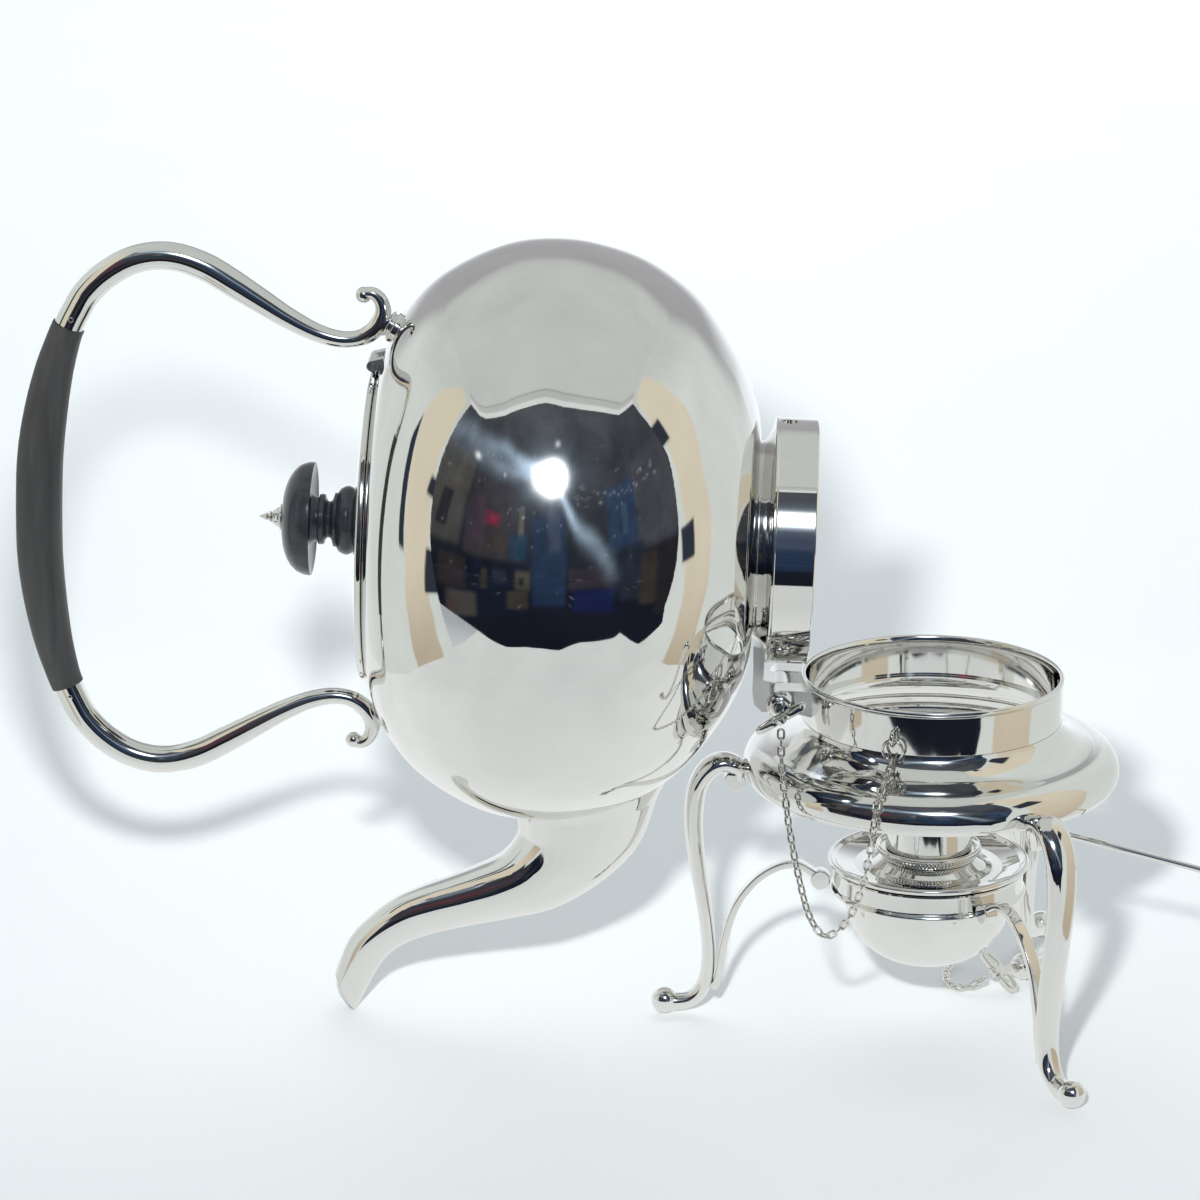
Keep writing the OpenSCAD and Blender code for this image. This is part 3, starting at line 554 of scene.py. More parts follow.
out = [(r, z) for z, r in body_zr]
inn = []
for i, p in enumerate(out):
    t = tang(out, i)
    inn.append((p[0] - wall * t[1], p[1] + wall * t[0]))
prof = ([(0, 16.4), (14, 16.4)] + out + smooth([(46.6, 128.05), (46.1, 128.13), (45.4, 128.12)], 2) + [(42.65, 128.12), (42.6, 128.05), (42.6, 126.9), (44.6, 126.9)]
        + [p for p in reversed(inn) if 17.7 < p[1] < 126.6] + [(28, 17.6), (0, 17.6)])
strainer = [(i * 4.4 + (0 if j % 2 == 0 else 2.2), 61 + j * 4) for i in range(-3, 4) for j in range(-2, 3) if abs(i) + abs(j) < 5]
lathe("kettle_shell", prof, "kettle", M_BODY, ("kettle_body",), KETTLE, 320,
      cutters=[rod_bm(1.4, (-95, y_, z_), (-65, y_, z_), 20) for y_, z_ in strainer])

ring_out = [(28.6, 16.3), (29.1, 15.3), (30.2, 14.3), (31.9, 13.5), (33.9, 12.9), (35.6, 12.55), (36.1, 12.2), (36.1, 11.7), (35.85, 11.4)]
lathe("base_ring", [(27.3, 16.35), (28.6, 16.35)] + smooth(ring_out[:6], 4) + rounded(ring_out[6:] + [(35.85, 0.4), (35.55, 0), (34.6, 0), (34.6, 11.2)], 0.15, 3, False)
      + [(32.6, 11.7), (30, 12.6), (28.2, 13.8), (27.3, 15.2)], "kettle", M_SILVER, ("kettle_base_ring",), KETTLE, 256,
      cutters=[rod_bm(lock_hole_r, (30, 0, 8.4), (42, 0, 8.4))])

# ---------------------------------------------------------------- spout
spout_ctrl = [(83.5, 89.6, 42, 80.5, 15.4), (83.6, 95, 47, 96, 13.4), (88.4, 101.6, 57, 107.6, 12.2),
              (96, 106, 70.4, 116.8, 10.8), (104.4, 109.9, 84.6, 121.2, 9.3), (112.6, 113.5, 98, 124.6, 8),
              (120.4, 117.8, 109, 128, 6.9), (128, 124.6, 117.6, 132.3, 6.1), (133.2, 131.4, 123.2, 138.4, 5.7),
              (137, 141.8, 130.4, 153.3, 5.6)]
SPN = 72


def spout_ring(p, inset):
    c = ((p[0] + p[2]) / 2, (p[1] + p[3]) / 2)
    h = ((p[0] - p[2]) / 2, (p[1] - p[3]) / 2)
    L = math.hypot(*h)
    k = (L - inset) / L
    return [(-(c[1] + h[1] * k * math.cos(f)), (p[4] - inset) * math.sin(f), c[0] + h[0] * k * math.cos(f))
            for f in (2 * pi * j / SPN for j in range(SPN))]


def root_ring(inset, z0=61, hz=23.6, b=17.8, off=0.06):
    row = []
    for j in range(SPN):
        f = 2 * pi * j / SPN
        z = z0 + (hz - inset) * math.cos(f)
        y = (b - inset) * math.sin(f)
        row.append((-math.sqrt(body_r(z) ** 2 - y * y) - off, y, z))
    return row


S = smooth(spout_ctrl, 12)
O = [root_ring(0)] + [spout_ring(p, 0) for p in S]
N = [root_ring(1.3)] + [spout_ring(p, 1.1) for p in S]
bm = bmesh.new()
rows = [[bm.verts.new(p) for p in r] for r in O + N[::-1]]
for A, B in zip(rows, rows[1:] + rows[:1]):
    for k in range(SPN):
        k2 = (k + 1) % SPN
        bm.faces.new((A[k], A[k2], B[k2], B[k]))
to_object(bm, "spout_form", KETTLE, "kettle", M_BODY, ("spout",), 50)

# ---------------------------------------------------------------- handle
joint = (54.6, 218.4)
joint_a = -25
arm_ctrl = [(joint[0], joint[1], 4.3, 4.3), (58.6, 216.5, 4.25, 4.25), (64.4, 213.2, 4.2, 4.2), (70, 207.8, 4.15, 4.15),
            (74.4, 200.8, 4.1, 4.1), (76.4, 193.4, 4.1, 4.1), (76.1, 186.2, 4.1, 4.1), (73.6, 178.6, 4.1, 4.1),
            (69.4, 171, 4, 4), (64.5, 162.8, 3.6, 3.7), (59.7, 154.6, 3.1, 3.3), (56, 146.8, 2.7, 2.9), (54.3, 140.2, 2.5, 2.7),
            (54.6, 134.8, 2.4, 2.6), (56.6, 130.8, 2.6, 2.7), (59.6, 128.3, 2.65, 2.7), (63, 127.4, 2.4, 2.5), (66.2, 128.2, 2.1, 2.3),
            (68.1, 130.3, 1.9, 2.1), (68.1, 132.6, 1.85, 2.0)]
for tag, F in (("rear", I4), ("front", FLIP)):
    bm = skin_bm(bent_rings(smooth(arm_ctrl, 8), 40))
    ball_bm((67.6, 0, 133.1), 2.4, bm)
    to_object(bm, "arm_" + tag, KETTLE @ F, "kettle", M_SILVER, ("handle_arm_" + tag,))
    fer = rounded([(0, -1.6), (4.5, -1.6), (4.5, 0), (4.6, 0.7), (4.4, 1.3), (3.7, 1.5), (3.6, 2), (4.1, 2.3), (4.1, 2.8), (3.2, 3.1),
                   (2.3, 3.4), (2, 3.7), (0, 3.7)], 0.25)
    lathe("ferrule_" + tag, fer, "kettle", M_SILVER, ("handle_ferrule_" + tag,),
          KETTLE @ F @ Matrix.Translation((58.2, 0, 123.5)) @ Matrix.Rotation(math.radians(29.6), 4, "Y"), 96)
    J = KETTLE @ F @ Matrix.Translation((joint[0], 0, joint[1])) @ Matrix.Rotation(math.radians(90 - joint_a), 4, "Y")
    lathe("grip_pin_" + tag + "_form", rounded([(0, -4.45), (0.75, -4.45), (0.75, 4.45), (0, 4.45)], 0.2), "kettle", M_SILVER,
          ("grip_pin_" + tag,), J @ Matrix.Translation((0, 0, 3)) @ Matrix.Rotation(pi / 2, 4, "X"), 40)

grip_half = smooth([(0, 227, 6.8, 6.4), (14, 226.7, 6.75, 6.35), (27, 225.3, 6.4, 6.1), (40, 222.9, 5.7, 5.6),
                    (50, 220.1, 5, 5), (joint[0] - 0.03, joint[1] + 0.02, 4.8, 4.8)], 10)
grip_path = [(-p[0],) + tuple(p[1:]) for p in reversed(grip_half)] + grip_half[1:]
to_object(skin_bm(bent_rings(grip_path, 48)), "grip", KETTLE, "kettle", M_GRIP, ("handle_grip",), 50)

# ---------------------------------------------------------------- lid
def dome(r):
    return 130.4 + 2.8 * (1 - (r / 45) ** 2.2)


dr = [44.6 - i * (44.6 - 7) / 40 for i in range(41)]
lathe("lid_form", [(stud_r + 0.05, 132)] + [(r - 0.4, dome(r) - 1.2) for r in reversed(dr)] + [(44.2, 128.35), (45.5, 128.35)]
      + smooth([(45.6, 128.35), (46.1, 128.7), (46.2, 129.3), (46.1, 129.9), (45.6, 130.28), (45, 130.4)], 4)
      + [(r, dome(r)) for r in dr] + [(stud_r + 0.05, dome(7))], "lid_assembly", M_BODY, ("lid",), KETTLE, 256)
lathe("lid_bezel_form", rounded([(41, 123.6), (41.9, 123.6), (42.1, 124.2), (42.1, 128.3), (43.9, 128.3), (43.9, 129.28), (41, 129.45)], 0.15),
      "lid_assembly", M_INSIDE, ("lid_bezel",), KETTLE, 192)
knob = ([(stud_r + 0.05, 133.2), (6.4, 133.2)] + smooth([(6.4, 133.2), (8.8, 134), (9.95, 135.5), (10, 137), (9.2, 138.5), (8, 139.3)], 6) + [(7.9, 140.1)]
        + smooth([(7.2, 140.3), (5.8, 140.9), (5.3, 141.6), (5.8, 142.4), (7.2, 142.9)], 6) + [(7.4, 143.2), (7.4, 144.3), (7.2, 144.6), (6.5, 144.8)]
        + smooth([(6.5, 145.4), (7.6, 146.9), (11, 147.3), (14.4, 146.8), (16.2, 146.3), (16.6, 146.7),
                  (16.45, 148.4), (15.4, 150.8), (13, 153), (9.2, 154.6), (4.6, 155.3)], 8) + [(stud_r + 0.05, 155.3)])
lathe("knob_form", knob, "lid_assembly", M_KNOB, ("knob",), KETTLE, 160, sharp=40)
lathe("finial_form", rounded([(0, 155.35), (3.9, 155.35), (4, 155.7), (3.7, 156.1), (3, 156.3), (2.9, 156.8),
                              (2.3, 157.5), (2, 158.1), (1.5, 158.4), (1.75, 158.8), (1.3, 159.3), (0.9, 159.6), (1.15, 160), (0.9, 160.5), (0.15, 162.1), (0, 162.1)], 0.2),
      "lid_assembly", M_SILVER, ("knob_finial",), KETTLE, 96)

# ---------------------------------------------------------------- burner
bowl_out = smooth([(26.6, 45.4), (26.2, 43.8), (25.7, 42), (25.3, 38.6), (24.3, 34), (22, 28.8), (18.2, 24),
                   (12.8, 20.6), (6.5, 19), (0.01, 18.7)], 8)
bowl_in = []
for i, p in enumerate(bowl_out):
    t = tang(bowl_out, i)
    bowl_in.append((max(p[0] + 0.9 * t[1], 0.0), p[1] - 0.9 * t[0]))
lathe("burner_bowl_form", [(25.7, 48.53), (26.6, 48.75)] + bowl_out[:-1] + [(0, 18.7), (0, 19.6)] + list(reversed(bowl_in[:-1])),
      "burner", M_SILVER, ("burner_bowl",), segs=192)
lathe("burner_pan_form", rounded([(13.2, 50.4), (13.6, 50.4), (14.4, 49.7), (16, 48.3), (19, 47.6),
                                  (22, 47.6), (24.4, 48.25), (28.8, 49.35), (pan_r - 0.3, 49.4), (pan_r, 49.9), (pan_r, 50.5), (pan_r - 0.4, 51), (28.8, 51.05),
                                  (28.1, 50.7), (27.4, 50.1), (24.6, 49.2), (22, 48.6), (19.2, 48.6), (17, 49.2), (15.2, 50.5), (14, 51.4), (13.2, 51.5)], 0.6, 5),
      "burner", M_SILVER, ("burner_pan",))


def milling(r, z, a):
    """Slanting rope milling round the wick holder's collar."""
    if r < 14.3 or not 52.4 < z < 54.05:
        return 0
    return -0.3 * (0.5 + 0.5 * math.cos(84 * a + 2.6 * (z - 53)))


lathe("wick_holder_form", [(7.6, 46.4), (8.4, 46.4), (8.4, 49.4), (12.9, 49.4), (12.9, 51.6), (13.9, 51.6), (14.1, 52.2), (14.4, 52.5)]
      + smooth([(14.7, 52.8), (15.1, 53.1), (15.3, 53.6), (15.6, 53.9), (15.7, 54.2), (15.7, 54.7), (15.4, 55.1), (14.9, 55.2), (14.4, 54.9)], 4)
      + [(14, 54.2), (8.4, 54.2), (8.4, 59.4), (7.6, 59.4)],
      "burner", M_SILVER, ("wick_holder",), segs=84 * 6, wobble=milling, sharp=60)
lathe("snuffer_cap_form", rounded([(12, 54.5), (12.9, 54.5), (11.9, 68.6), (11.5, 69.4), (10.7, 69.9), (6, 70.4), (0, 70.5),
                                   (0, 69.6), (6, 69.5), (10.6, 69), (11.1, 68.2)], 0.25), "snuffer", M_SILVER, ("snuffer_cap",))
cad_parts["wick"].data.materials[0] = M_WICK
for n in ("chain_eyelet_near", "chain_eyelet_far"):
    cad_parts[n].data.materials[0] = M_CHAIN
# the hinge parts take the rough silver whose brighter tint is a painted brightening
for n in ("stand_hinge_lugs", "kettle_hinge_lug", "lid_hinge_knuckles", "lid_hinge_leaf", "lid_hinge_pin"):
    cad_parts[n].data.materials[0] = M_WORN_BRIGHTENED

# ---------------------------------------------------------------- pins, rings and the snuffer's rod
def pin_prof(L):
    return (rounded([(0, -8.3), (2.2, -8.3), (2.7, -7.8), (2.7, -7.2), (2.2, -6.8), (3.3, -6.2), (3.9, -5.3), (4.1, -4.4), (3.8, -3.6),
                     (4.1, -3.2), (4.1, -2.4), (3.6, -2), (3.6, -1.4), (3.2, -1.1), (3.2, 0), (2.0, 0), (2.0, L - 1), (1.3, L), (0, L)], 0.35, 5))


TO_X = Matrix.Rotation(pi / 2, 4, "Y")
AT_HINGE = (Matrix.Translation((-hinge_x, -14.3, hinge_z)) @ rotz(90) @ Matrix.Rotation(math.radians(59), 4, "X"))
AT_LOCK = (Matrix.Translation((34.4, 33.2, 3.72)) @ rotz(46) @ Matrix.Rotation(math.radians(6.9), 4, "Y")
           @ Matrix.Rotation(math.radians(-60), 4, "X"))
lathe("hinge_pin_form", pin_prof(28.6), "front_pin", M_SILVER, ("hinge_pin",), AT_HINGE @ TO_X, 80)
lathe("lock_pin_form", pin_prof(15), "rear_pin", M_SILVER, ("lock_pin",), AT_LOCK @ TO_X, 80)


def eased_plate(loops, t, e, bm):
    """A plate of thickness t in the XZ plane from closed outlines (the first outside, the others holes), its edges eased by e."""
    import_me = bpy.data.curves.new("tmp_plate", "CURVE")
    import_me.dimensions = "2D"
    import_me.fill_mode = "BOTH"
    import_me.extrude = t / 2 - e
    import_me.bevel_depth = e
    import_me.bevel_resolution = 3
    import_me.offset = -e
    for lp in loops:
        sp = import_me.splines.new("POLY")
        sp.points.add(len(lp) - 1)
        for q_, (x_, z_) in zip(sp.points, lp):
            q_.co = (x_, z_, 0, 1)
        sp.use_cyclic_u = True
    ob = bpy.data.objects.new("tmp_plate", import_me)
    bpy.context.scene.collection.objects.link(ob)
    me = bpy.data.meshes.new_from_object(ob.evaluated_get(bpy.context.evaluated_depsgraph_get()))
    me.transform(Matrix.Rotation(pi / 2, 4, "X"))
    bm.from_mesh(me)
    bpy.data.objects.remove(ob)
    bpy.data.curves.remove(import_me)
    bpy.data.meshes.remove(me)
    return bm


def pill(c0, r0, c1, r1, n=20):
    """Outline of the hull of two circles one above the other along Z."""
    d = (c1[0] - c0[0], c1[1] - c0[1])
    L = math.hypot(*d)
    base = math.atan2(d[1], d[0])
    off = math.acos(max(-1, min(1, (r0 - r1) / L)))
    pts = []
    for k in range(n + 1):
        a = base + off + (2 * pi - 2 * off) * k / n
        pts.append((c0[0] + r0 * math.cos(a), c0[1] + r0 * math.sin(a)))
    for k in range(n + 1):
        a = base - off + 2 * off * k / n
        pts.append((c1[0] + r1 * math.cos(a), c1[1] + r1 * math.sin(a)))
    return pts


def circle(c, r, n=32):
    return [(c[0] + r * math.cos(2 * pi * k / n), c[1] + r * math.sin(2 * pi * k / n)) for k in range(n)]


def bow(name, body, node, M):
    bm = bmesh.new()
    for sg in (-1, 1):
        eased_plate([pill((-7.2, sg * 2.9), 2.7, (-7.5, sg * 6.2), 2.1), pill((-7.2, sg * 3.4), 1.3, (-7.5, sg * 6.1), 0.95)[::-1]], 1.8, 0.45, bm)
    eased_plate([[(-6.2, -1.3), (0, -1.3), (0, 1.3), (-6.2, 1.3)]], 1.8, 0.4, bm)
    eased_plate([circle((-7.4, 0), 1.9)], 1.78, 0.5, bm)
    eased_plate([[(-10, -0.95), (-7.8, -0.95), (-7.8, 0.95), (-10, 0.95)]], 1.7, 0.4, bm)
    eased_plate([circle((-9.9, 0), 1.3), circle((-9.9, 0), 0.6, 24)[::-1]], 1.78, 0.3, bm)
    return to_object(bm, name, M @ Matrix.Translation((-8.35, 0, 0)), body, M_CHAIN, (node,), 40)


bow("hinge_pin_bow", "front_pin", "hinge_pin_thumbpiece", AT_HINGE)
bow("lock_pin_bow", "rear_pin", "lock_pin_thumbpiece", AT_LOCK)

for tag, a in (("near", 251.5), ("far", 71.5)):
    to_object(torus_bm(3.05, 0.45, Matrix.Translation((40.2, 0, 96.9)) @ TO_X), "jump_ring_" + tag + "_form", rotz(a), "stand", M_CHAIN,
              ("jump_ring_" + tag,), 80)
AT_ROD = rotz(-15) @ Matrix.Translation((0, 0, 69.1)) @ Matrix.Rotation(math.radians(99.5), 4, "Y")
lathe("snuffer_socket_form", rounded([(0.5, 11.2), (3, 11.2), (3, 14.2), (2.5, 15), (2.2, 16.6), (2.2, 18.6), (1.8, 19.2), (1.03, 19.2), (0.5, 19.0)], 0.3),
      "snuffer", M_SILVER, ("snuffer_socket",), AT_ROD, 64)
lathe("snuffer_rod_form", rounded([(0, 13.4), (rod_r, 13.4), (rod_r, rod_len), (0, rod_len)], 0.2), "snuffer", M_SILVER, ("snuffer_rod",),
      AT_ROD, 48)
to_object(torus_bm(5, 1.0, AT_ROD @ Matrix.Translation((0, 0, rod_len + 6.05)) @ Matrix.Rotation(pi / 2, 4, "X"), 96, 24), "snuffer_rod_ring_form", I4,
          "snuffer", M_SILVER, ("snuffer_rod_ring",), 80)


# ---------------------------------------------------------------- stage, light, camera
def stage_mesh(name, verts, faces, mat, camera=True):
    me = bpy.data.meshes.new(name)
    me.from_pydata(verts, [], faces)
    me.materials.append(mat)
    ob = bpy.data.objects.new(name, me)
    bpy.context.scene.collection.objects.link(ob)
    if not camera:
        ob.visible_camera = False
        ob.visible_shadow = False
        ob.visible_diffuse = False
    return ob


M_FLOOR = bpy.data.materials.new("stage_floor")
nt, b = nodes_of(M_FLOOR)
n = noise(nt, 3.0, 3)
ramp = nt.nodes.new("ShaderNodeValToRGB")
ramp.color_ramp.elements[0].color = (0.90, 0.915, 0.93, 1)
ramp.color_ramp.elements[1].color = (0.925, 0.935, 0.945, 1)
link(nt, n.outputs["Fac"], ramp.inputs["Fac"])
link(nt, ramp.outputs["Color"], b.inputs["Base Color"])
b.inputs["Roughness"].default_value = 0.6
b.inputs["Specular IOR Level"].default_value = 0.2
G = 6.0
stage_mesh("floor", [(-G, -G, 0), (G, -G, 0), (G, G, 0), (-G, G, 0)], [(0, 1, 2, 3)], M_FLOOR)

# everything below is painted reflection, glowing sheets seen only in the polished metal: the inside of a white light
# tent, its buff front edges, the dark room beyond its opening, and the lamp there
def painted(name, strength=1.0, scale=9.0, amount=0.10):
    mat = bpy.data.materials.new(name)
    mat.use_nodes = True
    nt = mat.node_tree
    nt.nodes.clear()
    em = nt.nodes.new("ShaderNodeEmission")
    out_ = nt.nodes.new("ShaderNodeOutputMaterial")
    at = nt.nodes.new("ShaderNodeAttribute")
    at.attribute_name = "paint"
    nz = noise(nt, scale, 4, 0.6, 0.3)
    mx = nt.nodes.new("ShaderNodeVectorMath")
    mx.operation = "SCALE"
    link(nt, at.outputs["Color"], mx.inputs[0])
    link(nt, maprange(nt, nz.outputs["Fac"], 0.3, 0.7, 1 - amount, 1 + amount), mx.inputs["Scale"])
    link(nt, mx.outputs["Vector"], em.inputs["Color"])
    em.inputs["Strength"].default_value = strength
    link(nt, em.outputs["Emission"], out_.inputs["Surface"])
    return mat


def painted_grid(name, point, nu, nv, paint, mat):
    """A grid of point(u, v), u and v in 0..1, coloured by paint(u, v, position)."""
    V, C_, F_ = [], [], []
    for j in range(nv + 1):
        for i in range(nu + 1):
            u, v = i / nu, j / nv
            p_ = point(u, v)
            V.append(p_)
            C_ += list(paint(u, v, p_)) + [1.0]
    for j in range(nv):
        for i in range(nu):
            a_ = j * (nu + 1) + i
            F_.append((a_, a_ + 1, a_ + nu + 2, a_ + nu + 1))
    ob = stage_mesh(name, V, F_, mat, camera=False)
    ca = ob.data.color_attributes.new("paint", "FLOAT_COLOR", "POINT")
    ca.data.foreach_set("color", C_)
    return ob


def sstep(a, b, x):
    t = max(0.0, min(1.0, (x - a) / (b - a)))
    return t * t * (3 - 2 * t)


def mix(a, b, t):
    return tuple(p + (q - p) * t for p, q in zip(a, b))


TENT, BUFF, BUFF_LOW = (0.76, 0.81, 0.79), (0.80, 0.73, 0.585), (0.58, 0.50, 0.385)
CEIL, BACK, BRIGHT = (0.635, 0.665, 0.645), (0.44, 0.44, 0.46), (1.0, 1.06, 1.10)
SLOT = (0.035, 0.042, 0.06)
XL, XR, YB, ZC = -0.33, 0.100, 0.36, 0.42
# for each height: the wall's front edge, and the front and rear edges of its buff strip
LEFT = [(0.0, -0.195, -0.161, -0.084), (0.031, -0.191, -0.161, -0.083), (0.073, -0.184, -0.160, -0.081), (0.127, -0.173, -0.157, -0.077),
        (0.168, -0.158, -0.153, -0.063), (0.221, -0.143, -0.140, -0.050), (0.282, -0.127, -0.122, -0.036), (0.327, -0.117, -0.110, -0.024),
        (0.366, -0.110, -0.101, -0.026), (0.40, -0.107, -0.096, -0.045), (0.43, -0.106, -0.094, -0.060)]
RIGHT = [(0.0, -0.180, -0.107, -0.030), (0.035, -0.165, -0.103, -0.026), (0.062, -0.137, -0.097, -0.022), (0.088, -0.136, -0.094, -0.018),
         (0.128, -0.118, -0.090, -0.012), (0.172, -0.104, -0.080, -0.004), (0.218, -0.097, -0.084, -0.004), (0.272, -0.086, -0.080, 0.0),
         (0.345, -0.091, -0.082, 0.0), (0.38, -0.097, -0.086, -0.010), (0.43, -0.102, -0.088, -0.030)]
M_TENT = painted("stage_tent", amount=0.05)


def edges(tab, z):
    return [lookup(z, [(q_[0], q_[k]) for q_ in tab]) for k in (1, 2, 3)]


def wall_z(v):
    return 0.0008 + v * (ZC + 0.01)


def wall(name, x0, bulge, tab, slot, clips):
    def point(u, v):
        z = wall_z(v)
        y0 = edges(tab, z)[0]
        # two thirds of the columns fall in the front 20 cm, where the strips are
        w_ = 0.20 * (u / 0.66) if u < 0.66 else 0.20 + (YB - y0 - 0.20) * (u - 0.66) / 0.34
        return (x0 + bulge(u), y0 + w_, z)

    def paint(u, v, p_):
        y0, yf, yr = edges(tab, p_[2])
        y, z = p_[1], p_[2]
        w_ = 0.0018 * math.sin(41 * z) + 0.0012 * math.sin(97 * z + 1)
        top = sstep(0.418, 0.408, z + 0.5 * abs(y - (yf + yr) / 2) ** 1.3)
        k = sstep(yf - 0.001, yf + 0.002, y + w_) * (1 - sstep(yr - 0.001, yr + 0.002, y + w_)) * top
        c = mix(TENT, mix(BUFF_LOW, BUFF, sstep(0.0, 0.16, z)), k)
        c = mix(c, CEIL, 0.8 * sstep(0.30, 0.41, z) * (1 - k))
        c = mix(c, BRIGHT, 0.75 * (1 - k) * sstep(0.10, 0.34, y) * (1 - sstep(0.12, 0.22, z)))
        c = mix(c, BACK, sstep(0.18, 0.34, y) * sstep(0.15, 0.27, z))
        for (za, zb, off, wid) in slot:
            wz = wid * sstep(zb + 0.012, zb - 0.05, z)
            m_ = sstep(za - 0.004, za + 0.004, z) * sstep(zb + 0.012, zb, z) * sstep(off - 0.0015, off + 0.0005, y - yr) * sstep(off + wz + 0.0015, off + wz - 0.0005, y - yr)
            c = mix(c, SLOT, m_)
        for (za, zb, ya, yb) in clips:
            m_ = sstep(za - 0.003, za + 0.002, z) * sstep(zb + 0.003, zb - 0.002, z) * sstep(ya - 0.003, ya + 0.001, y) * sstep(yb + 0.003, yb - 0.002, y)
            c = mix(c, SLOT, m_)
        return c
    painted_grid(name, point, 150, 110, paint, M_TENT)


wall("stage_tent_left", XL, lambda u: -0.02 * math.sin(pi * max(0, u - 0.5)), LEFT, [(0.150, 0.300, 0.004, 0.020)],
     [(0.108, 0.168, -0.3, -0.146), (0.236, 0.262, -0.3, -0.120)])
wall("stage_tent_right", XR, lambda u: 0.05 * max(0.0, u - 0.3) ** 0.7, RIGHT, [], [(0.288, 0.328, -0.3, -0.066), (0.140, 0.178, -0.096, -0.056)])
painted_grid("stage_tent_back", lambda u, v: (XL - 0.02 + (XR + 0.06 - XL) * u, YB, wall_z(v)), 40, 60,
             lambda u, v, p_: mix(BRIGHT, BACK, sstep(0.15, 0.27, p_[2])), M_TENT)
# ceiling with a pale turned-down hem along its bowed front edge
HEM = [(-0.36, -0.098), (-0.33, -0.106), (-0.312, -0.148), (-0.29, -0.166), (-0.25, -0.176), (-0.2155, -0.180), (-0.154, -0.171), (-0.112, -0.162),
       (-0.068, -0.169), (-0.016, -0.166), (0.04, -0.157), (0.063, -0.151), (0.083, -0.126), (0.10, -0.103), (0.15, -0.098)]


def ceiling(u, v):
    x = XL - 0.02 + (XR + 0.07 - XL) * u
    y0 = lookup(x, HEM)
    return (x, y0 + (YB - y0) * v ** 1.8, ZC + 0.012 * math.sin(pi * min(1, v * 1.1)))


def ceiling_paint(u, v, p_):
    d = p_[1] - lookup(p_[0], HEM)
    c = mix(CEIL, BACK, sstep(0.22, 0.34, p_[1]))
    c = mix(c, (0.80, 0.83, 0.83), sstep(0.014, 0.008, d))
    c = mix(c, (0.50, 0.52, 0.51), 0.55 * sstep(0.009, 0.013, d) * sstep(0.034, 0.024, d))
    return mix(c, (0.33, 0.345, 0.36), 0.7 * math.exp(-((d - 0.026) / 0.0016) ** 2))


painted_grid("stage_tent_ceiling", ceiling, 120, 90, ceiling_paint, M_TENT)

# the room: a dark bowl far out with dim furniture shapes, and the lamp with its glare; angles in degrees
PATCHES = [  # azimuth from and to, elevation from and to, colour, edge softness
    (-78, -54, 6, 34, (0.078, 0.076, 0.072), 2.5), (-66, -61, 10, 21, (0.018, 0.020, 0.028), 1.0), (-62, -53, 24, 33, (0.095, 0.09, 0.08), 2.0),
    (-50, -13, 4, 30, (0.050, 0.045, 0.054), 2.0), (-47, -38, 9, 23, (0.058, 0.040, 0.062), 1.2), (-36, -14, 6, 12, (0.050, 0.042, 0.038), 1.5),
    (-37, -25, 15.5, 20, (0.15, 0.03, 0.055), 1.5), (-33, -28, 16.5, 19, (0.30, 0.03, 0.08), 0.8), (-12, -9.5, 12, 24, (0.13, 0.13, 0.11), 0.8),
    (-17, -8, 4, 13, (0.018, 0.050, 0.095), 1.5), (-4, 14, -14, 20, (0.020, 0.040, 0.092), 2.5), (4, 10, 8, 24, (0.060, 0.075, 0.12), 3.0),
    (-49, -8, -19, 1.5, (0.009, 0.013, 0.028), 1.5), (-62, -49, -9, 1, (0.036, 0.031, 0.034), 1.5), (-58, -42, -19, -11, (0.080, 0.076, 0.070), 2.0),
    (-59, -54, -29, -14, (0.070, 0.052, 0.050), 1.5), (-37, -33, -8, -1, (0.050, 0.045, 0.036), 1.2), (-28, -19, -5, -1, (0.024, 0.030, 0.050), 1.2),
    (-18, -7, -16, -9, (0.055, 0.048, 0.040), 1.2), (-13, -6, -8, -1, (0.085, 0.076, 0.058), 1.4), (-11, -9, -6, -3.5, (0.012, 0.014, 0.02), 0.8),
    (20, 37, -18, -9, (0.010, 0.016, 0.075), 1.2), (17, 34, -8, -1, (0.040, 0.034, 0.044), 1.8), (35, 57, 5, 27, (0.030, 0.055, 0.115), 3.0),
    (57, 82, 3, 31, (0.075, 0.078, 0.092), 3.5), (44, 48, 10, 20, (0.05, 0.10, 0.16), 1.2), (42, 58, -14, 4, (0.022, 0.030, 0.048), 2.5),
    (57, 65, -17, 0, (0.046, 0.040, 0.034), 1.4), (66, 77, -21, 1, (0.022, 0.021, 0.024), 2.0)]
rnd = random.Random(11)
SPECKS = [(rnd.uniform(22, 72), rnd.gauss(25.5, 2.2), rnd.uniform(0.35, 0.8), rnd.uniform(0.3, 0.6), rnd.uniform(0.05, 0.22)) for _ in range(46)]
SPECKS += [(rnd.uniform(-74, 60), rnd.uniform(-16, 46), rnd.uniform(0.3, 0.5), rnd.uniform(0.3, 0.5), rnd.uniform(0.06, 0.25)) for _ in range(60)]
SPECKS += [(-53, 36.3, 2.6, 1.1, 1.1), (10.5, 48.8, 2.0, 1.3, 0.8), (-25.5, 35, 1.0, 0.8, 0.35), (-10, 20, 0.6, 0.5, 0.5)]


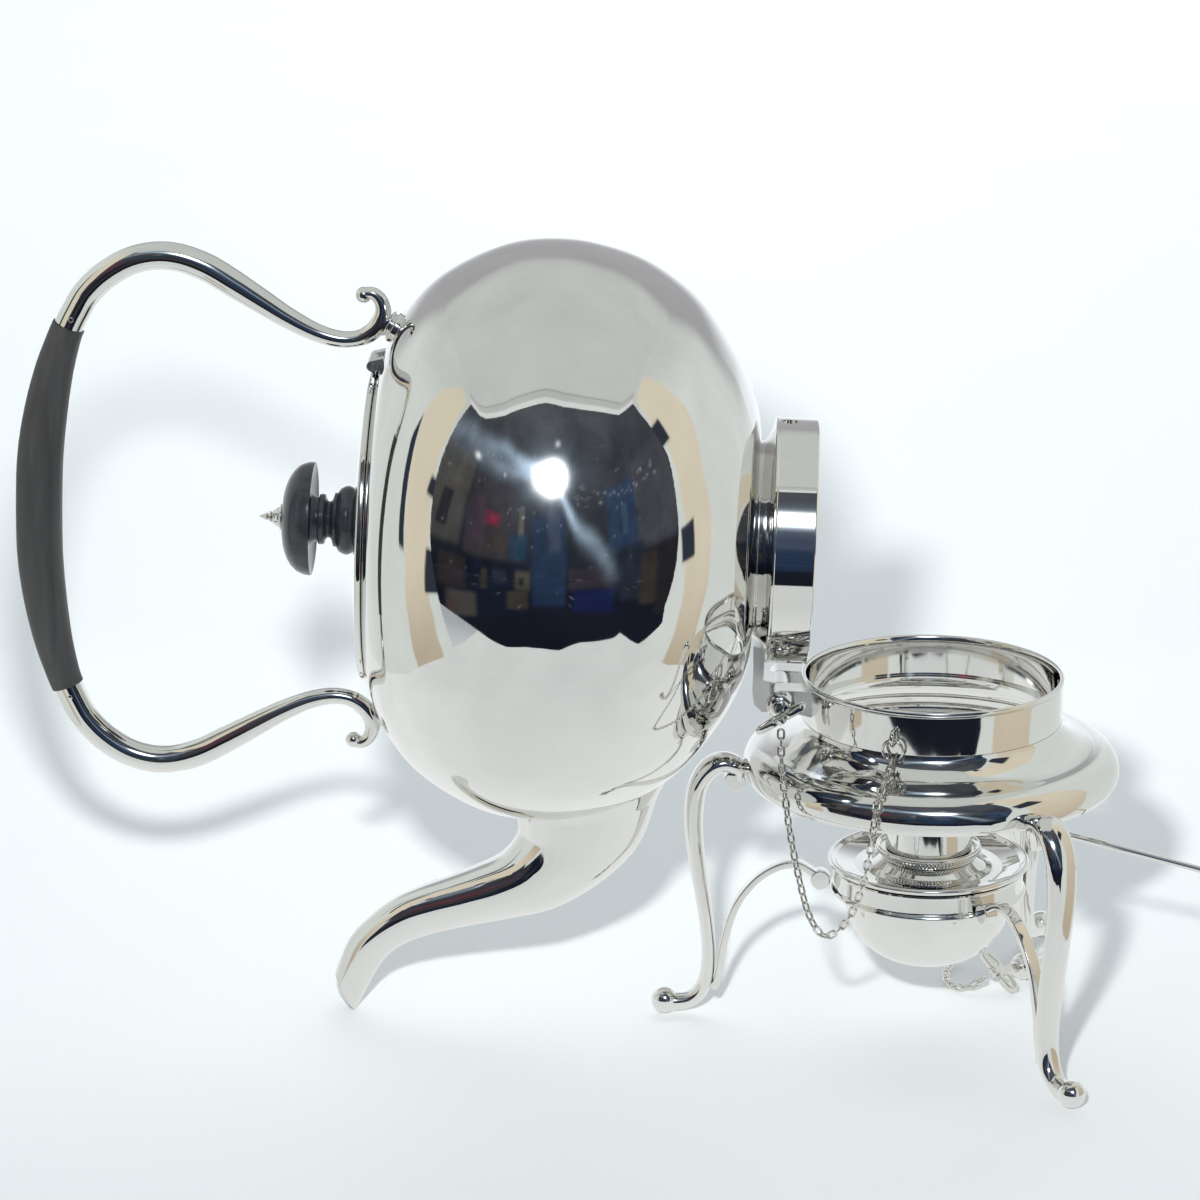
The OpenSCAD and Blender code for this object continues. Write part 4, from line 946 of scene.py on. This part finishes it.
def room_colour(az, el):
    c = [lookup(el, [(-45, q_[0]), (-8, q_[1]), (5, q_[2]), (25, q_[3]), (45, q_[4]), (62, q_[5]), (95, q_[5])])
         for q_ in ((0.008, 0.010, 0.018, 0.040, 0.056, 0.088), (0.009, 0.012, 0.020, 0.042, 0.061, 0.092), (0.015, 0.024, 0.030, 0.052, 0.074, 0.106))]
    for a0, a1, e0, e1, col, so in PATCHES:
        if a0 - 2 * so < az < a1 + 2 * so and e0 - 2 * so < el < e1 + 2 * so:
            m_ = (sstep(a0 - so, a0 + so * 0.4, az) * sstep(a1 + so, a1 - so * 0.4, az)
                  * sstep(e0 - so, e0 + so * 0.4, el) * sstep(e1 + so, e1 - so * 0.4, el))
            c = list(mix(c, col, 0.85 * m_))
    glow = 0.0
    for a0, e0, wa, we, amp in SPECKS:
        if abs(az - a0) < 3 * wa and abs(el - e0) < 3 * we:
            glow += amp * math.exp(-((az - a0) / wa) ** 2 - ((el - e0) / we) ** 2)
    # the lamp: a round painted glare, and painted glare streaks, two off to one side and one down the other
    q_ = math.hypot((az - 6) / 9.8, (el - 35.3) / 6.4)
    core = 5.0 / (1 + math.exp(min(30.0, (q_ - 1) * 7)))
    halo = 0.62 * math.exp(-max(0.0, q_ - 1) / 0.42) + 0.085 * math.exp(-math.hypot(az - 6, el - 38) / 17)
    t = -az + 4
    if t > 0:
        a_ = 37.6 + 0.21 * min(t, 34) - 0.10 * max(0.0, t - 34)
        halo += 0.74 * math.exp(-t / 42) * math.exp(-((el - a_) / (2.4 + 0.02 * t)) ** 2)
        halo += 0.60 * math.exp(-t / 36) * math.exp(-((el - 37.5) / (2.6 + 0.03 * t)) ** 2)
    dx, dy = az - 9, el - 33
    t = (dx * 30 - dy * 41) / 50.8
    n_ = (dx * 41 + dy * 30) / 50.8
    if t > 0:
        halo += 1.05 * math.exp(-t / 26) * (1 - sstep(38, 56, t)) * math.exp(-(n_ / (1.5 + 0.055 * t)) ** 2)
    return [c[k] + glow * (0.95, 0.98, 1.05)[k] + core + halo * (0.68, 0.90, 1.14)[k] for k in range(3)]


ROOM_C = (-0.11, -0.07, 0.17)


def room_paint(u, v, p_):
    d = [a_ - b_ for a_, b_ in zip(p_, ROOM_C)]
    return room_colour(math.degrees(math.atan2(d[0], -d[1])), math.degrees(math.atan2(d[2], math.hypot(d[0], d[1]))))


def room_point(u, v):
    az, el = math.radians(-100 + 200 * u), math.radians(-12 + 92 * v)
    return (ROOM_C[0] + 3.2 * math.cos(el) * math.sin(az), ROOM_C[1] - 3.2 * math.cos(el) * math.cos(az), ROOM_C[2] + 3.2 * math.sin(el))


M_ROOM = painted("stage_room", amount=0.25, scale=1.6)
painted_grid("stage_room_bowl", room_point, 340, 170, room_paint, M_ROOM)
# beyond the tent's floor sheet a glowing dark sheet paints the unlit table as shade, in the room's painted colours; it
# runs on past the bowl
SHEET = [(-5.0, -0.36), (-0.40, -0.34), (-0.33, -0.335), (-0.28, -0.326), (-0.20, -0.311), (-0.15, -0.322), (-0.11, -0.318), (-0.06, -0.303),
         (0.0, -0.319), (0.05, -0.303), (0.08, -0.293), (0.118, -0.298), (0.122, -0.20), (0.20, -0.185), (5.0, -0.185)]


def table_point(u, v):
    x = 4.6 * (2 * u - 1) ** 5 + 0.55 * (2 * u - 1)
    return (x, lookup(x, SHEET) - 4.3 * v ** 4, 0.0006)


painted_grid("stage_table_end", table_point, 300, 50, room_paint, M_ROOM)


# the tent's own floor, as bright in the metal as the tent makes it
def floor_point(u, v):
    x = -0.345 + 0.47 * u
    y0 = lookup(x, SHEET)
    return (x, y0 + (YB - y0) * v, 0.0003)


painted_grid("stage_tent_floor", floor_point, 100, 60,
             lambda u, v, p_: mix((0.755, 0.785, 0.785), (0.90, 0.925, 0.92), sstep(-0.20, 0.04, p_[1])), M_TENT)
cam_at = Vector((-0.0578, -1.1972, 0.4888))

world = bpy.data.worlds.new("studio")
bpy.context.scene.world = world
world.use_nodes = True
wn = world.node_tree
bg = wn.nodes["Background"]
bg.inputs["Color"].default_value = (0.89, 0.963, 1.0, 1)
bg.inputs["Strength"].default_value = 0.485


def area(name, loc, target, size, power, color=(1, 1, 1)):
    d = bpy.data.lights.new(name, "AREA")
    d.shape = "DISK"
    d.size = size
    d.energy = power
    d.color = color
    ob = bpy.data.objects.new(name, d)
    ob.location = loc
    ob.rotation_euler = (Vector(target) - Vector(loc)).to_track_quat("-Z", "Y").to_euler()
    bpy.context.scene.collection.objects.link(ob)
    return ob


# the lamp by the camera throws the soft shadows; its own picture in the metal is painted on the room above
az_, el_ = math.radians(-1.5), math.radians(25.5)
key = area("key", Vector((-0.10, 0, 0.10)) + 0.85 * Vector((math.cos(el_) * math.sin(az_), -math.cos(el_) * math.cos(az_), math.sin(el_))),
           (-0.10, 1.0, 0.10), 0.045, 2.9, (0.955, 0.985, 0.975))
key.data.spread = math.radians(84)
key.data.use_nodes = True
kn = key.data.node_tree
fall = kn.nodes.new("ShaderNodeLightFalloff")
fall.inputs["Strength"].default_value = 1.0
link(kn, fall.outputs["Constant"], kn.nodes["Emission"].inputs["Strength"])
far = area("far_floor", Vector((0, 2.2, 1.8)), (0, 2.2, 0), 2.4, 26.0, (0.94, 0.985, 1.0))
for l_ in (key, far):
    l_.visible_glossy = False

cam = bpy.data.cameras.new("camera")
cam.sensor_width = 36.0
cam.lens = 36.0 * 4256 / 1200
cam.clip_end = 50
co = bpy.data.objects.new("camera", cam)
co.location = cam_at
co.rotation_euler = (pi / 2 - 0.2912, 0, 0.0336)
bpy.context.scene.collection.objects.link(co)
bpy.context.scene.camera = co
bpy.context.scene.view_settings.view_transform = "Standard"
